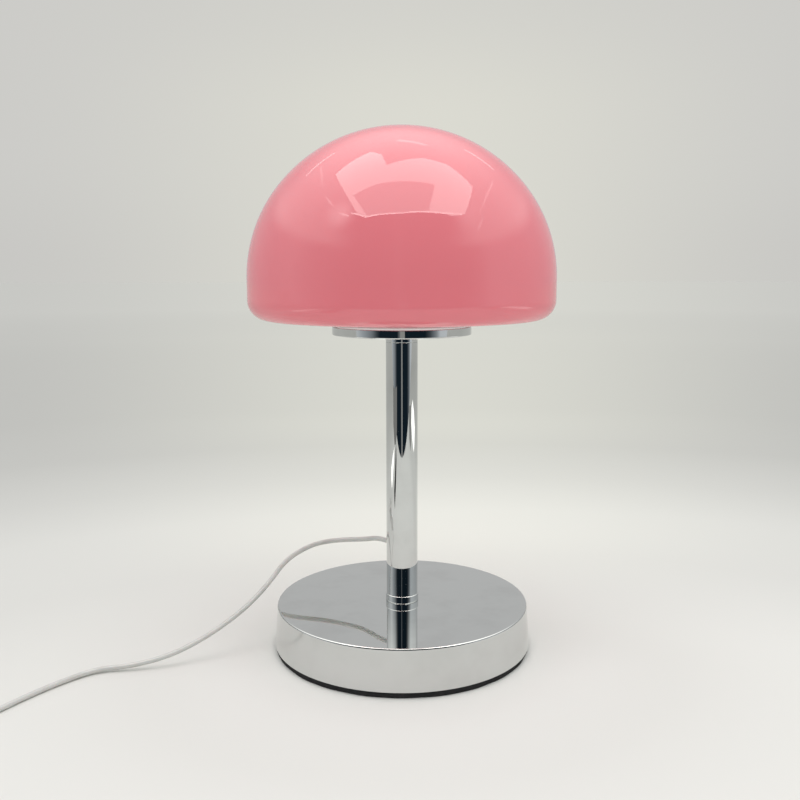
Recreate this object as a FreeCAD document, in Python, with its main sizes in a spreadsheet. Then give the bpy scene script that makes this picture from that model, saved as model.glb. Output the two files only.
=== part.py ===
import FreeCAD, Part
import math
import os
import re
import Sketcher

# Mushroom table lamp: an opal glass dome on a chromed tray, column and weighted base, fed by a
# thin cord with a push switch and a flat plug. Millimetres, +Z up, origin under the base.

SIZES = {
    # base
    "base_top_radius": 76.2,
    "base_flare": 1.8,
    "base_height": 24.2,
    "base_wall": 0.9,
    "base_rim_round": 1.2,
    "pad_thickness": 3.4,
    "pad_inset": 0.5,
    "weight_clearance": 0.8,
    "weight_rim_width": 8.5,
    "weight_web": 3.6,
    "weight_web_lift": 10.0,
    "weight_hub_radius": 14.0,
    "bolt_radius": 3.95,
    "bolt_length": 29.0,
    "bolt_flats": 13.0,
    "bolt_head": 5.3,
    "lock_washer_thickness": 2.0,
    "base_washer_thickness": 1.6,
    "base_washer_radius": 12.0,
    "thread_clearance": 0.05,
    # column
    "column_height": 163.3,
    "tube_radius": 9.5,
    "tube_wall": 0.9,
    "plug_clearance": 0.05,
    "foot_collar": 4.5,
    "foot_collar_radius": 10.0,
    "foot_shank": 15.0,
    "collar_bevel": 0.3,
    "head_collar": 4.5,
    "head_shank": 16.0,
    "nipple_radius": 4.95,
    "nipple_bore_radius": 3.4,
    "nipple_below": 13.0,
    "nipple_above": 1.0,
    "cord_hole_height": 60.6,
    "cord_hole_turn": 127.0,
    "cord_hole_radius": 2.9,
    "grommet_flange_radius": 4.1,
    "grommet_flange": 1.0,
    "grommet_barb_radius": 3.3,
    "grommet_barb": 0.8,
    "grommet_neck": 1.0,
    # tray and what stands on it
    "tray_margin": 2.8,
    "tray_thickness": 4.9,
    "tray_bevel": 0.6,
    "recess_clearance": 1.0,
    "tray_floor": 2.2,
    "tray_washer_radius": 9.5,
    "tray_washer_thickness": 1.2,
    "tray_nut_flats": 14.0,
    "tray_nut_height": 3.2,
    "cup_inset": 3.6,
    "cup_wall": 0.8,
    "cup_height": 15.0,
    "pillar_radius": 2.6,
    "pillar_inset": 4.1,
    "pillar_height": 11.0,
    "board_clearance": 2.0,
    "board_thickness": 1.6,
    "chip_length": 3.5,
    "chip_width": 2.8,
    "chip_height": 0.8,
    "chip_circle": 15.5,
    "chip_count": 12,
    "screw_radius": 1.45,
    "screw_head_radius": 2.75,
    "screw_head": 1.8,
    "screw_length": 6.0,
    "diffuser_height": 21.0,
    "diffuser_side": 8.0,
    "diffuser_taper": 8.4,
    "diffuser_wall": 1.5,
    "diffuser_spigot": 2.6,
    "cap_clearance": 0.1,
    "clip_width": 8.0,
    "clip_leaf": 0.5,
    "clip_seat_drop": 0.5,
    "clip_seat": 2.5,
    "clip_overhang": 0.9,
    "clip_lift": 2.4,
    "clip_tail": 2.9,
    "clip_tail_height": 1.0,
    # glass
    "gasket_thickness": 0.4,
    "shade_radius": 90.0,
    "shade_wall": 3.0,
    "shade_mouth_radius": 34.0,
    "shade_rim_width": 4.4,
    "shade_corner_radius": 11.7,
    "shade_corner_height": 15.3,
    "shade_upright": 11.7,
    "shade_dome_rise": 87.0,
    # cord and what is on it
    "cord_diameter": 3.0,
    "cord_clearance": 0.05,
    "coil_turns": 7,
    "coil_layers": 4,
    "coil_mean_diameter": 35.0,
    "coil_gap": 0.45,
    "stow_turn": 113.3,
    "switch_length": 52.0,
    "switch_width": 20.0,
    "switch_height": 13.0,
    "switch_round": 4.0,
    "switch_wall": 1.4,
    "switch_cord_height": 6.5,
    "case_top_bevel": 1.2,
    "case_foot_bevel": 0.6,
    "button_radius": 4.8,
    "button_stand": 1.6,
    "button_travel": 1.0,
    "button_clearance": 0.1,
    "button_lip": 1.0,
    "button_lip_gap": 0.2,
    "button_bevel": 0.5,
    "button_reserve": 0.9,
    "button_stem_radius": 2.4,
    "plunger_radius": 1.7,
    "plunger_clearance": 0.08,
    "plunger_reserve": 0.2,
    "switch_board_length": 28.0,
    "switch_board_width": 13.0,
    "switch_board_thickness": 1.2,
    "board_rib_height": 1.0,
    "board_rib_width": 1.2,
    "board_rib_spacing": 22.0,
    "tact_side": 6.0,
    "tact_height": 3.4,
    "case_screw_spacing": 40.0,
    "case_screw_gauge": 12.0,
    "case_boss_radius": 2.9,
    "case_screw_radius": 1.1,
    "case_screw_length": 8.4,
    "case_screw_seat": 1.6,
    "case_hole_reserve": 0.4,
    "case_screw_head_radius": 2.0,
    "case_screw_head": 1.2,
    "plug_length": 24.0,
    "plug_width": 15.6,
    "plug_height": 7.6,
    "plug_round": 2.2,
    "relief_length": 16.0,
    "relief_end_radius": 2.3,
    "relief_root_radius": 3.2,
    "shell_length": 18.8,
    "shell_inside": 6.0,
    "shell_window": 2.2,
    "shell_window_spacing": 5.6,
    "shell_window_back": 5.2,
    "shell_width": 12.0,
    "shell_height": 4.5,
    "shell_leaf": 0.3,
    "tongue_height": 1.9,
    "tongue_clearance": 0.1,
    "tongue_setback": 0.4,
    "contact_width": 1.0,
    "contact_length": 8.0,
    "contact_leaf": 0.2,
}

doc = FreeCAD.newDocument("mushroom_lamp")
sheet = doc.addObject("Spreadsheet::Sheet", "Sizes")
for row, (word, number) in enumerate(SIZES.items(), start=1):
    sheet.set(f"A{row}", word)
    sheet.set(f"B{row}", str(number))
    sheet.setAlias(f"B{row}", word)
doc.recompute()

pieces = []


def bound(text):
    """The same sum with each size's name pointing at its cell in the sheet."""
    return re.sub(r"[a-z][a-z_]*", lambda m: f"Sizes.{m[0]}" if m[0] in SIZES else m[0], text)


def size(text):
    """The number that a sum of sizes comes to."""
    return float(sheet.evalExpression(bound(text)))


def origin_part(body, role):
    """One of a body's own planes or axes, by its role."""
    return next(part for part in body.Origin.OriginFeatures if part.Role == role)


def new_body(label, at="0"):
    """A piece whose own zero height stands at the height `at`."""
    body = doc.addObject("PartDesign::Body", label)
    body.Label = label
    body.setExpression("Placement.Base.z", bound(at))
    pieces.append(body)
    return body


def new_sketch(body, plane="XZ_Plane", lift=None):
    """A sketch on one of the body's own planes, or `lift` above it."""
    sketch = body.newObject("Sketcher::SketchObject", f"{body.Name}_sketch")
    sketch.AttachmentSupport = (origin_part(body, plane), [""])
    sketch.MapMode = "FlatFace"
    if lift:
        sketch.setExpression("AttachmentOffset.Base.z", bound(lift))
    return sketch


def pin(sketch, line, end, across, up):
    """Holds one end of a line or arc, or a centre, at two sums of sizes."""
    for kind, axis, text in (("DistanceX", -2, across), ("DistanceY", -1, up)):
        if text == "0":
            sketch.addConstraint(Sketcher.Constraint("PointOnObject", line, end, axis))
            continue
        rule = sketch.addConstraint(Sketcher.Constraint(kind, -1, 1, line, end, size(text)))
        sketch.setExpression(f"Constraints[{rule}]", bound(text))


def add_line(sketch, start, end):
    points = [FreeCAD.Vector(size(x), size(y), 0) for x, y in (start, end)]
    return sketch.addGeometry(Part.LineSegment(*points))


def add_outline(sketch, corners):
    """A closed loop of straight lines, each corner held at its sizes."""
    lines = [add_line(sketch, a, b) for a, b in zip(corners, corners[1:] + corners[:1])]
    for line, following, corner in zip(lines, lines[1:] + lines[:1], corners):
        sketch.addConstraint(Sketcher.Constraint("Coincident", line, 2, following, 1))
        pin(sketch, line, 1, *corner)


def add_circle(sketch, radius, across="0", up="0"):
    centre = FreeCAD.Vector(size(across), size(up), 0)
    circle = Part.Circle(centre, FreeCAD.Vector(0, 0, 1), size(radius))
    ring = sketch.addGeometry(circle)
    rule = sketch.addConstraint(Sketcher.Constraint("Radius", ring, size(radius)))
    sketch.setExpression(f"Constraints[{rule}]", bound(radius))
    pin(sketch, ring, 3, across, up)


def add_rectangle(sketch, length, width, across="0", up="0"):
    left, right = f"{across} - ({length})/2", f"{across} + ({length})/2"
    low, high = f"{up} - ({width})/2", f"{up} + ({width})/2"
    add_outline(sketch, [(left, low), (right, low), (right, high), (left, high)])


def add_feature(body, kind, sketch, **settings):
    feature = body.newObject(f"PartDesign::{kind}", f"{body.Name}_{kind.lower()}")
    if sketch:
        feature.Profile = sketch
    for name, value in settings.items():
        setattr(feature, name, value)
    return feature


def turn(body, sketch, kind="Revolution", angle=360.0, axis="V_Axis"):
    """Turns a profile about the sketch's own axis, to add or to cut."""
    return add_feature(body, kind, sketch, ReferenceAxis=(sketch, [axis]), Angle=angle)


def extrude(body, sketch, length, kind="Pad", middle=False, reverse=False):
    """Adds or cuts along the sketch's normal, by a sum of sizes."""
    feature = add_feature(body, kind, sketch, Reversed=reverse)
    if middle:
        feature.SideType = "Symmetric"
    feature.setExpression("Length", bound(length))
    return feature


def spread_round(body, features, count):
    """Repeats features evenly about the upright axis."""
    pattern = body.newObject("PartDesign::PolarPattern", f"{body.Name}_pattern")
    pattern.Originals = features
    pattern.Axis = (origin_part(body, "Z_Axis"), [""])
    pattern.Angle = 360
    pattern.setExpression("Occurrences", bound(count))
    body.Tip = pattern


def soften(body, radius, wanted, kind="Fillet"):
    """Rounds or bevels the edges of the body's last feature that `wanted` picks."""
    doc.recompute()
    base = body.Tip
    names = [f"Edge{k}" for k, edge in enumerate(base.Shape.Edges, start=1) if wanted(edge)]
    feature = body.newObject(f"PartDesign::{kind}", f"{body.Name}_{kind.lower()}")
    feature.Base = (base, names)
    feature.setExpression("Radius" if kind == "Fillet" else "Size", bound(radius))
    return feature


def ring_edge(radius, height):
    """Picks the round edge of a turned piece at a radius and a height."""
    return lambda edge: (
        edge.Curve.TypeId == "Part::GeomCircle"
        and abs(edge.Curve.Radius - size(radius)) < 1e-3
        and abs(edge.Curve.Center.z - size(height)) < 1e-3
    )


def turned(label, corners, at="0", angle=360.0):
    """A piece turned about the column's axis from a straight-sided profile."""
    body = new_body(label, at)
    sketch = new_sketch(body)
    add_outline(sketch, corners)
    turn(body, sketch, angle=angle)
    return body


def washer(label, inner, outer, thickness, at, angle=360.0):
    return turned(
        label, [(inner, "0"), (outer, "0"), (outer, thickness), (inner, thickness)], at, angle
    )


def add_hexagon(sketch, flats):
    side, tip = f"({flats})/2", f"({flats})/sqrt(3)"
    half = f"({tip})/2"
    corners = [(side, half), ("0", tip), (f"-{side}", half)]
    corners += [(f"-{side}", f"-{half}"), ("0", f"-{tip}"), (side, f"-{half}")]
    add_outline(sketch, corners)


# Heights above the table, each from the piece below it, and the radii that two pieces share.
weight_foot = "pad_thickness"
web_under = f"({weight_foot} + weight_web_lift)"
base_top = "(pad_thickness + base_height)"
shell_under = f"({base_top} - base_wall)"
washer_under = f"({web_under} - base_washer_thickness)"
lock_under = f"({washer_under} - lock_washer_thickness)"
tube_foot = f"({base_top} + foot_collar)"
tray_under = f"({base_top} + column_height)"
tube_head = f"({tray_under} - head_collar)"
tray_floor_top = f"({tray_under} + tray_floor)"
tray_top = f"({tray_under} + tray_thickness)"
cup_floor_top = f"({tray_floor_top} + cup_wall)"
nut_under = f"({cup_floor_top} + tray_washer_thickness)"
board_under = f"({cup_floor_top} + pillar_height)"
board_top = f"({board_under} + board_thickness)"
cup_rim = f"({tray_floor_top} + cup_height)"
mouth = f"({tray_top} + gasket_thickness)"
thread_bore = "(bolt_radius + thread_clearance)"
tube_bore = "(tube_radius - tube_wall)"
plug_radius = f"({tube_bore} - plug_clearance)"
nipple_hole = "(nipple_radius + thread_clearance)"
screw_hole = "(screw_radius + thread_clearance)"
cord_bore = "(cord_diameter/2 + cord_clearance)"
base_foot = "(base_top_radius + base_flare)"
shoulder_height = "(shade_corner_height + shade_upright)"
shoulder_radius = "(shade_dome_rise^2/shade_radius)"
rim_radius = "(shade_mouth_radius + shade_rim_width)"
tray_radius = f"({rim_radius} + tray_margin)"
cup_radius = "(shade_mouth_radius - cup_inset)"
cup_bore = f"({cup_radius} - cup_wall)"
recess_radius = f"({cup_radius} + recess_clearance)"
board_radius = f"({cup_bore} - board_clearance)"
pillar_circle = f"({board_radius} - pillar_inset)"
diffuser_top = f"({cup_radius} - diffuser_taper)"
shade_height = f"({shoulder_height} + shade_dome_rise)"


def base_pad():
    """Soft foam disc under the shell's edge and the weight, which is glued to it."""
    radius = f"({base_foot} - pad_inset)"
    turned(
        "base_pad",
        [("0", "0"), (radius, "0"), (radius, "pad_thickness"), ("0", "pad_thickness")],
    )


def base_shell():
    """Deep-drawn steel cup, chromed, open below, its wall drafted out towards the foot."""
    body = turned(
        "base_shell",
        [
            (thread_bore, "base_height"),
            (thread_bore, "base_height - base_wall"),
            ("base_top_radius - base_wall", "base_height - base_wall"),
            (f"{base_foot} - base_wall", "0"),
            (base_foot, "0"),
            ("base_top_radius", "base_height"),
        ],
        at="pad_thickness",
    )
    soften(body, "base_rim_round", ring_edge("base_top_radius", "base_height"))


def base_weight():
    """Cast-iron dish: a heavy rim on the pad, a thin web, and a hub up to the shell's top."""
    rim = "(base_top_radius - base_wall - weight_clearance)"
    rim_inside = f"({rim} - weight_rim_width)"
    web_top = "(weight_web_lift + weight_web)"
    hub_top = f"({shell_under} - {weight_foot})"
    turned(
        "base_weight",
        [
            (thread_bore, "weight_web_lift"),
            (rim_inside, "weight_web_lift"),
            (rim_inside, "0"),
            (rim, "0"),
            (rim, web_top),
            ("weight_hub_radius", web_top),
            ("weight_hub_radius", hub_top),
            (thread_bore, hub_top),
        ],
        at=weight_foot,
    )


def base_fixing():
    """Bolt, spring washer and flat washer that clamp weight and shell to the column's foot."""
    washer("base_washer", thread_bore, "base_washer_radius", "base_washer_thickness", washer_under)
    washer(
        "base_lock_washer",
        thread_bore,
        "bolt_flats/2",
        "lock_washer_thickness",
        lock_under,
        angle=352.0,
    )
    bolt = new_body("base_bolt", at=lock_under)
    head = new_sketch(bolt, "XY_Plane")
    add_hexagon(head, "bolt_flats")
    extrude(bolt, head, "bolt_head", reverse=True)
    shank = new_sketch(bolt, "XY_Plane")
    add_circle(shank, "bolt_radius")
    extrude(bolt, shank, "bolt_length")


def column():
    """Chromed steel tube between two turned plugs whose collars show as rings at its ends."""
    shank_top = "(foot_collar + foot_shank)"
    foot = turned(
        "foot_plug",
        [
            (thread_bore, "0"),
            ("foot_collar_radius", "0"),
            ("foot_collar_radius", "foot_collar"),
            (plug_radius, "foot_collar"),
            (plug_radius, shank_top),
            (thread_bore, shank_top),
        ],
        at=base_top,
    )
    soften(foot, "collar_bevel", ring_edge("foot_collar_radius", "foot_collar"), "Chamfer")
    head = turned(
        "head_plug",
        [
            (nipple_hole, "-head_shank"),
            (plug_radius, "-head_shank"),
            (plug_radius, "0"),
            ("tube_radius", "0"),
            ("tube_radius", "head_collar"),
            (nipple_hole, "head_collar"),
        ],
        at=tube_head,
    )
    soften(head, "collar_bevel", ring_edge("tube_radius", "0"), "Chamfer")
    length = f"({tube_head} - {tube_foot})"
    tube = turned(
        "pole_tube",
        [(tube_bore, "0"), ("tube_radius", "0"), ("tube_radius", length), (tube_bore, length)],
        at=tube_foot,
    )
    # the cord's hole, drilled square to the wall behind the column
    hole = new_sketch(tube, "YZ_Plane")
    add_circle(hole, "cord_hole_radius", up=f"(cord_hole_height - {tube_foot})")
    extrude(tube, hole, "tube_radius + 1", kind="Pocket", reverse=True)
    tube.setExpression("Placement.Rotation.Angle", bound("cord_hole_turn"))


def head_fixing():
    """Threaded nipple from the head plug up through tray and cup, with its washer and nut."""
    top = "(tray_floor + cup_wall + tray_washer_thickness + tray_nut_height + nipple_above)"
    turned(
        "head_nipple",
        [
            ("nipple_bore_radius", "-nipple_below"),
            ("nipple_radius", "-nipple_below"),
            ("nipple_radius", top),
            ("nipple_bore_radius", top),
        ],
        at=tray_under,
    )
    washer(
        "tray_washer", nipple_hole, "tray_washer_radius", "tray_washer_thickness", cup_floor_top
    )
    nut = new_body("tray_nut", at=nut_under)
    sketch = new_sketch(nut, "XY_Plane")
    add_hexagon(sketch, "tray_nut_flats")
    add_circle(sketch, nipple_hole)
    extrude(nut, sketch, "tray_nut_height")


def shade_tray():
    """Turned and chromed disc that closes the shade's mouth, recessed for the light's cup."""
    body = turned(
        "shade_tray",
        [
            (nipple_hole, "0"),
            (tray_radius, "0"),
            (tray_radius, "tray_thickness"),
            (recess_radius, "tray_thickness"),
            (recess_radius, "tray_floor"),
            (nipple_hole, "tray_floor"),
        ],
        at=tray_under,
    )
    edges = [ring_edge(tray_radius, height) for height in ("0", "tray_thickness")]
    soften(body, "tray_bevel", lambda edge: any(wanted(edge) for wanted in edges), "Chamfer")


def light_cup():
    """Spun aluminium cup under the light, with three posts that carry its board."""
    turned(
        "light_cup",
        [
            (nipple_hole, "0"),
            (cup_radius, "0"),
            (cup_radius, "cup_height"),
            (cup_bore, "cup_height"),
            (cup_bore, "cup_wall"),
            (nipple_hole, "cup_wall"),
        ],
        at=tray_floor_top,
    )
    posts = new_body("board_posts", at=cup_floor_top)
    sketch = new_sketch(posts, "XY_Plane")
    add_circle(sketch, "pillar_radius", across=pillar_circle)
    add_circle(sketch, screw_hole, across=pillar_circle)
    spread_round(posts, [extrude(posts, sketch, "pillar_height")], "3")


def light_board():
    """Aluminium-backed board with a ring of white chips, held by three pan-head screws."""
    board = new_body("light_board", at=board_under)
    sketch = new_sketch(board, "XY_Plane")
    add_circle(sketch, board_radius)
    add_circle(sketch, cord_bore)
    extrude(board, sketch, "board_thickness")
    holes = new_sketch(board, "XY_Plane")
    add_circle(holes, screw_hole, across=pillar_circle)
    cut = extrude(board, holes, "board_thickness", kind="Pocket", reverse=True)
    spread_round(board, [cut], "3")

    chips = new_body("light_chips", at=board_top)
    sketch = new_sketch(chips, "XY_Plane")
    add_rectangle(sketch, "chip_width", "chip_length", across="chip_circle")
    spread_round(chips, [extrude(chips, sketch, "chip_height")], "chip_count")

    screws = new_body("board_screws", at=board_top)
    head = new_sketch(screws, "XY_Plane")
    add_circle(head, "screw_head_radius", across=pillar_circle)
    shank = new_sketch(screws, "XY_Plane")
    add_circle(shank, "screw_radius", across=pillar_circle)
    parts = [
        extrude(screws, head, "screw_head"),
        extrude(screws, shank, "screw_length", reverse=True),
    ]
    spread_round(screws, parts, "3")


def light_diffuser():
    """Moulded white cap over the board, its spigot pressed inside the cup's rim."""
    spigot, inside = f"({cup_bore} - cap_clearance)", f"({cup_bore} - cap_clearance - diffuser_wall)"
    turned(
        "light_diffuser",
        [
            ("0", "diffuser_height - diffuser_wall"),
            (f"{diffuser_top} - diffuser_wall/2", "diffuser_height - diffuser_wall"),
            (inside, "diffuser_side - diffuser_wall/3"),
            (inside, "-diffuser_spigot"),
            (spigot, "-diffuser_spigot"),
            (spigot, "0"),
            (cup_radius, "0"),
            (cup_radius, "diffuser_side"),
            (diffuser_top, "diffuser_height"),
            ("0", "diffuser_height"),
        ],
        at=cup_rim,
    )


def shade_clips():
    """Three bent spring leaves on the cup's wall that snap over the rim of the shade's mouth."""
    body = new_body("shade_clips")
    top = f"({cup_rim} - clip_seat_drop)"
    knee = f"({top} - clip_seat)"
    elbow = (f"(shade_mouth_radius + clip_overhang)", f"({mouth} + shade_wall + clip_lift)")
    tail = (f"(shade_mouth_radius - clip_tail)", f"({mouth} + clip_tail_height)")
    back = [(cup_radius, top), (cup_radius, knee), elbow, tail]
    # how far the mitred front of the leaf lies from its back, in leaf thicknesses
    offsets = [(1, 0), (1, 0.58), (1.55, 0.26), (0.76, -0.65)]
    front = [(f"({x} + clip_leaf * {a})", f"({z} + clip_leaf * {b})") for (x, z), (a, b) in zip(back, offsets)]
    sketch = new_sketch(body)
    add_outline(sketch, back + front[::-1])
    spread_round(body, [extrude(body, sketch, "clip_width", middle=True)], "3")


def add_shade_outside(sketch):
    """Half the shade's outline: ground rim, sloped bottom, corner, upright wall and dome.

    The dome's shoulder is as round as an ellipse with the dome's half width and rise is at its
    side, and the crown is the arc that goes on from it smoothly and meets the axis squarely.
    """
    outer, corner, shoulder = size("shade_radius"), size("shade_corner_radius"), size(shoulder_radius)
    foot, spring, rise = size("shade_corner_height"), size(shoulder_height), size("shade_dome_rise")
    inset = outer - shoulder
    crown = (inset**2 + rise**2 - shoulder**2) / (2 * (rise - shoulder))
    crown_centre = spring + rise - crown
    flat = 1 if rise < outer else -1  # the crown's centre changes sides where the dome is tall
    meet = math.atan2(flat * (spring - crown_centre), flat * inset)
    # where a line from the rim's edge touches the corner arc from below
    start = FreeCAD.Vector(size(rim_radius), 0, 0)
    centre = FreeCAD.Vector(outer - corner, foot, 0)
    reach = centre - start
    touch = math.atan2(reach.y, reach.x) - math.asin(corner / reach.Length) - math.pi / 2
    end = centre + FreeCAD.Vector(math.cos(touch), math.sin(touch), 0) * corner
    rim = add_line(sketch, ("0", "0"), (rim_radius, "0"))
    bottom = sketch.addGeometry(Part.LineSegment(start, end))
    arcs = []
    for middle, radius, first, last in (
        (centre, corner, touch, 0),
        (FreeCAD.Vector(inset, spring, 0), shoulder, 0, meet),
        (FreeCAD.Vector(0, crown_centre, 0), crown, meet, math.pi / 2),
    ):
        circle = Part.Circle(middle, FreeCAD.Vector(0, 0, 1), radius)
        arcs.append(sketch.addGeometry(Part.ArcOfCircle(circle, first, last)))
    corner_arc, shoulder_arc, crown_arc = arcs
    side = add_line(sketch, ("shade_radius", "shade_corner_height"), ("shade_radius", shoulder_height))
    axis = add_line(sketch, ("0", shade_height), ("0", "0"))
    for kind, first, second in (
        ("Coincident", rim, bottom),
        ("Tangent", bottom, corner_arc),
        ("Coincident", corner_arc, side),
        ("Coincident", side, shoulder_arc),
        ("Tangent", shoulder_arc, crown_arc),
        ("Coincident", crown_arc, axis),
        ("Coincident", axis, rim),
    ):
        sketch.addConstraint(Sketcher.Constraint(kind, first, 2, second, 1))
    pin(sketch, rim, 1, "0", "0")
    pin(sketch, bottom, 1, rim_radius, "0")
    pin(sketch, corner_arc, 3, "shade_radius - shade_corner_radius", "shade_corner_height")
    pin(sketch, corner_arc, 2, "shade_radius", "shade_corner_height")
    pin(sketch, shoulder_arc, 1, "shade_radius", shoulder_height)
    pin(sketch, shoulder_arc, 3, f"shade_radius - {shoulder_radius}", shoulder_height)
    sketch.addConstraint(Sketcher.Constraint("PointOnObject", crown_arc, 3, -2))
    pin(sketch, crown_arc, 2, "0", shade_height)


def shade_inside():
    """The unseen inner wall in flat steps, its corners one glass thickness inside the outline."""
    inside = [("0", "-1"), ("shade_mouth_radius", "-1"), ("shade_mouth_radius", "shade_wall")]
    bend = "(shade_corner_radius - shade_wall)"
    for angle in (-80, -45, 0):
        across = f"(shade_radius - shade_corner_radius + {bend}*cos({angle} deg))"
        inside.append((across, f"(shade_corner_height + {bend}*sin({angle} deg))"))
    for angle in range(0, 90, 15):
        across = f"((shade_radius - shade_wall)*cos({angle} deg))"
        inside.append((across, f"({shoulder_height} + (shade_dome_rise - shade_wall)*sin({angle} deg))"))
    return inside + [("0", f"({shade_height} - shade_wall)")]


def glass_shade():
    """Blown opal glass dome with a rolled-in bottom and a ground rim around its mouth."""
    washer("shade_gasket", "shade_mouth_radius", rim_radius, "gasket_thickness", tray_top)
    body = new_body("glass_shade", at=mouth)
    outline = new_sketch(body)
    add_shade_outside(outline)
    turn(body, outline)
    hollow = new_sketch(body)
    add_outline(hollow, shade_inside())
    turn(body, hollow, kind="Groove")


# ---- cord ----------------------------------------------------------------------------------

CORD_SIDES = 8


def bend(start, corner, end):
    """An arc from start to end, tangent to the lines from both to the corner."""
    middle = (start + end) * 0.5
    half, rise = (end - start).Length / 2, (corner - middle).Length
    if rise < 1e-5 * half:
        return Part.LineSegment(start, end).toShape()
    sag = half * math.tan(math.atan2(rise, half) / 2)
    return Part.Arc(start, middle + (corner - middle) * (sag / rise), end).toShape()


def route_path(label, points):
    """Straight runs joined by the largest tangent arcs that the shorter run leaves room for."""
    edges, start, tightest = [], points[0], math.inf
    for before, corner, after in zip(points, points[1:], points[2:]):
        reach = 0.45 * min((corner - before).Length, (after - corner).Length)
        turning = (corner - before).getAngle(after - corner)
        tightest = min(tightest, reach / math.tan(turning / 2))
        into = corner + (before - corner).normalize() * reach
        out = corner + (after - corner).normalize() * reach
        edges.append(Part.LineSegment(start, into).toShape())
        edges.append(bend(into, corner, out))
        start = out
    edges.append(Part.LineSegment(start, points[-1]).toShape())
    path = Part.Wire(edges)
    print(f"{label}: length {path.Length:.1f}, tightest bend {tightest:.1f}")
    return path


def cord_along(label, path, start, direction):
    """A closed cord solid, many-sided with a flat underneath, swept along a path."""
    radius = size("cord_diameter") / 2
    side = direction.cross(FreeCAD.Vector(0, 0, 1)).normalize()
    up = side.cross(direction).normalize()
    ring = []
    for step in range(CORD_SIDES):
        angle = 2 * math.pi * (step + 0.5) / CORD_SIDES
        ring.append(start + side * (radius * math.cos(angle)) + up * (radius * math.sin(angle)))
    section = Part.makePolygon(ring + ring[:1])
    pipe = Part.BRepOffsetAPI.MakePipeShell(path)
    pipe.add(section)
    pipe.build()
    pipe.makeSolid()
    solid = pipe.shape()
    expected = Part.Face(section).Area * path.Length
    print(f"{label}: volume {solid.Volume:.0f}, section times length {expected:.0f}")
    return solid


def cord_solid(label, points):
    return cord_along(label, route_path(label, points), points[0], points[1] - points[0])


def cord_flat():
    """How far the cord's flat underside lies below its axis."""
    return size("cord_diameter") / 2 * math.cos(math.pi / CORD_SIDES)


def add_shape(label, shape):
    piece = doc.addObject("Part::Feature", label)
    piece.Label = label
    piece.Shape = shape
    pieces.append(piece)
    return piece


def cord_through(label, points):
    add_shape(label, cord_solid(label, points))


def turned_point(distance, angle, height):
    """A point at a distance and an angle in degrees round the column."""
    return FreeCAD.Vector(
        distance * math.cos(math.radians(angle)),
        distance * math.sin(math.radians(angle)),
        height,
    )


def stowed(along, out, height):
    """A point of the put-away cord: along its line, out from the picture's edge, up."""
    angle = math.radians(size("stow_turn"))
    ahead = FreeCAD.Vector(math.cos(angle), math.sin(angle), 0)
    aside = FreeCAD.Vector(-math.sin(angle), math.cos(angle), 0)
    return STOW_START + ahead * along + aside * out + FreeCAD.Vector(0, 0, height)


STOW_START = FreeCAD.Vector(-211, -90, 0)
STOW_OUT = 37.1  # how far out the put-away cord's line lies
SWITCH_ALONG = 22.0  # where the switch starts on that line
LINK_LENGTH = 36.0  # from the switch to the coil
LINK_RUNS = (9.0, 20.0, 29.5)  # where the link turns down and levels out
TAIL_LENGTH = 46.0  # from the coil to the plug
TAIL_RUNS = (8.0, 20.0, 32.0, 40.0)  # where the tail turns down and levels out
TAIL_DROPS = (3.2, 1.1)  # how far the tail is below the coil's top, then above the plug's axis
ENTRY_RUN = 8.0  # the straight run into the switch
FIRST_RUN = 21.9  # how far from the column's axis the cord runs straight out

# The seen stretch, from the column down to the table and out of the picture on the left.
ROUTE = [
    (-25, 26, 57.6),
    (-39, 30.8, 56),
    (-53.5, 32, 53.8),
    (-64.5, 26.5, 50.6),
    (-74.5, 18, 45.6),
    (-82, 4.5, 37),
    (-92.5, -5, 27),
    (-104, -13, 19),
    (-118.5, -24.5, 11.8),
    (-136, -35.5, 6),
    (-157, -41.5, 2.6),
    (-175.5, -44, 1.9),
    (-189, -57.5, 1.5),
    (-202, -76, 1.6),
    (-212.5, -94.5, 1.5),
    (-218.5, -104, 1.5),
    (-228.5, -107.6, 1.5),
    (-238.6, -106.9, 1.6),
    (-246.6, -101.1, 3.4),
]


def biarc(start, heading, end, leaving):
    """Two arcs from start to end that keep both headings and meet smoothly."""
    step, both = end - start, heading + leaving
    a, b, c = both.dot(both) - 4, -2 * step.dot(both), step.dot(step)
    reach = (-b - math.sqrt(b * b - 4 * a * c)) / (2 * a)
    first, second = start + heading * reach, end - leaving * reach
    middle = (first + second) * 0.5
    return [bend(start, first, middle), bend(middle, second, end)]


def coil_point(turn):
    """The coil's centre line: a flat spiral in, a half turn up to the next layer, a spiral out."""
    layers, pitch = int(size("coil_layers")), size("cord_diameter + coil_gap")
    spiral = (size("coil_turns") - (layers - 1) / 2) / layers
    layer = min(int(turn / (spiral + 0.5) + 1e-9), layers - 1)
    inside = turn - layer * (spiral + 0.5)
    near, far = (size("coil_mean_diameter") + sign * spiral * pitch for sign in (-1, 1))
    inward = layer % 2 == 0
    sign = -1 if inward else 1
    radius = (far if inward else near) / 2 + sign * inside * pitch
    height = layer * pitch
    if inside > spiral:
        climb = 2 * math.pi * (inside - spiral)
        radius = (near if inward else far) / 2 + sign * pitch * math.sin(climb) / (2 * math.pi)
        height += pitch * (1 - math.cos(climb)) / 2
    return turned_point(radius, 360 * turn, height)


def coil_stations():
    """The turn numbers that the biarcs join: quarter turns of each spiral and of each climb."""
    layers = int(size("coil_layers"))
    spiral = (size("coil_turns") - (layers - 1) / 2) / layers
    quarters = math.ceil(4 * spiral - 1e-9)
    stations = [0]
    for layer in range(layers):
        foot = layer * (spiral + 0.5)
        stations += [foot + spiral * step / quarters for step in range(1, quarters + 1)]
        if layer < layers - 1:
            stations += [foot + spiral + 0.25, foot + spiral + 0.5]
    return stations


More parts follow.
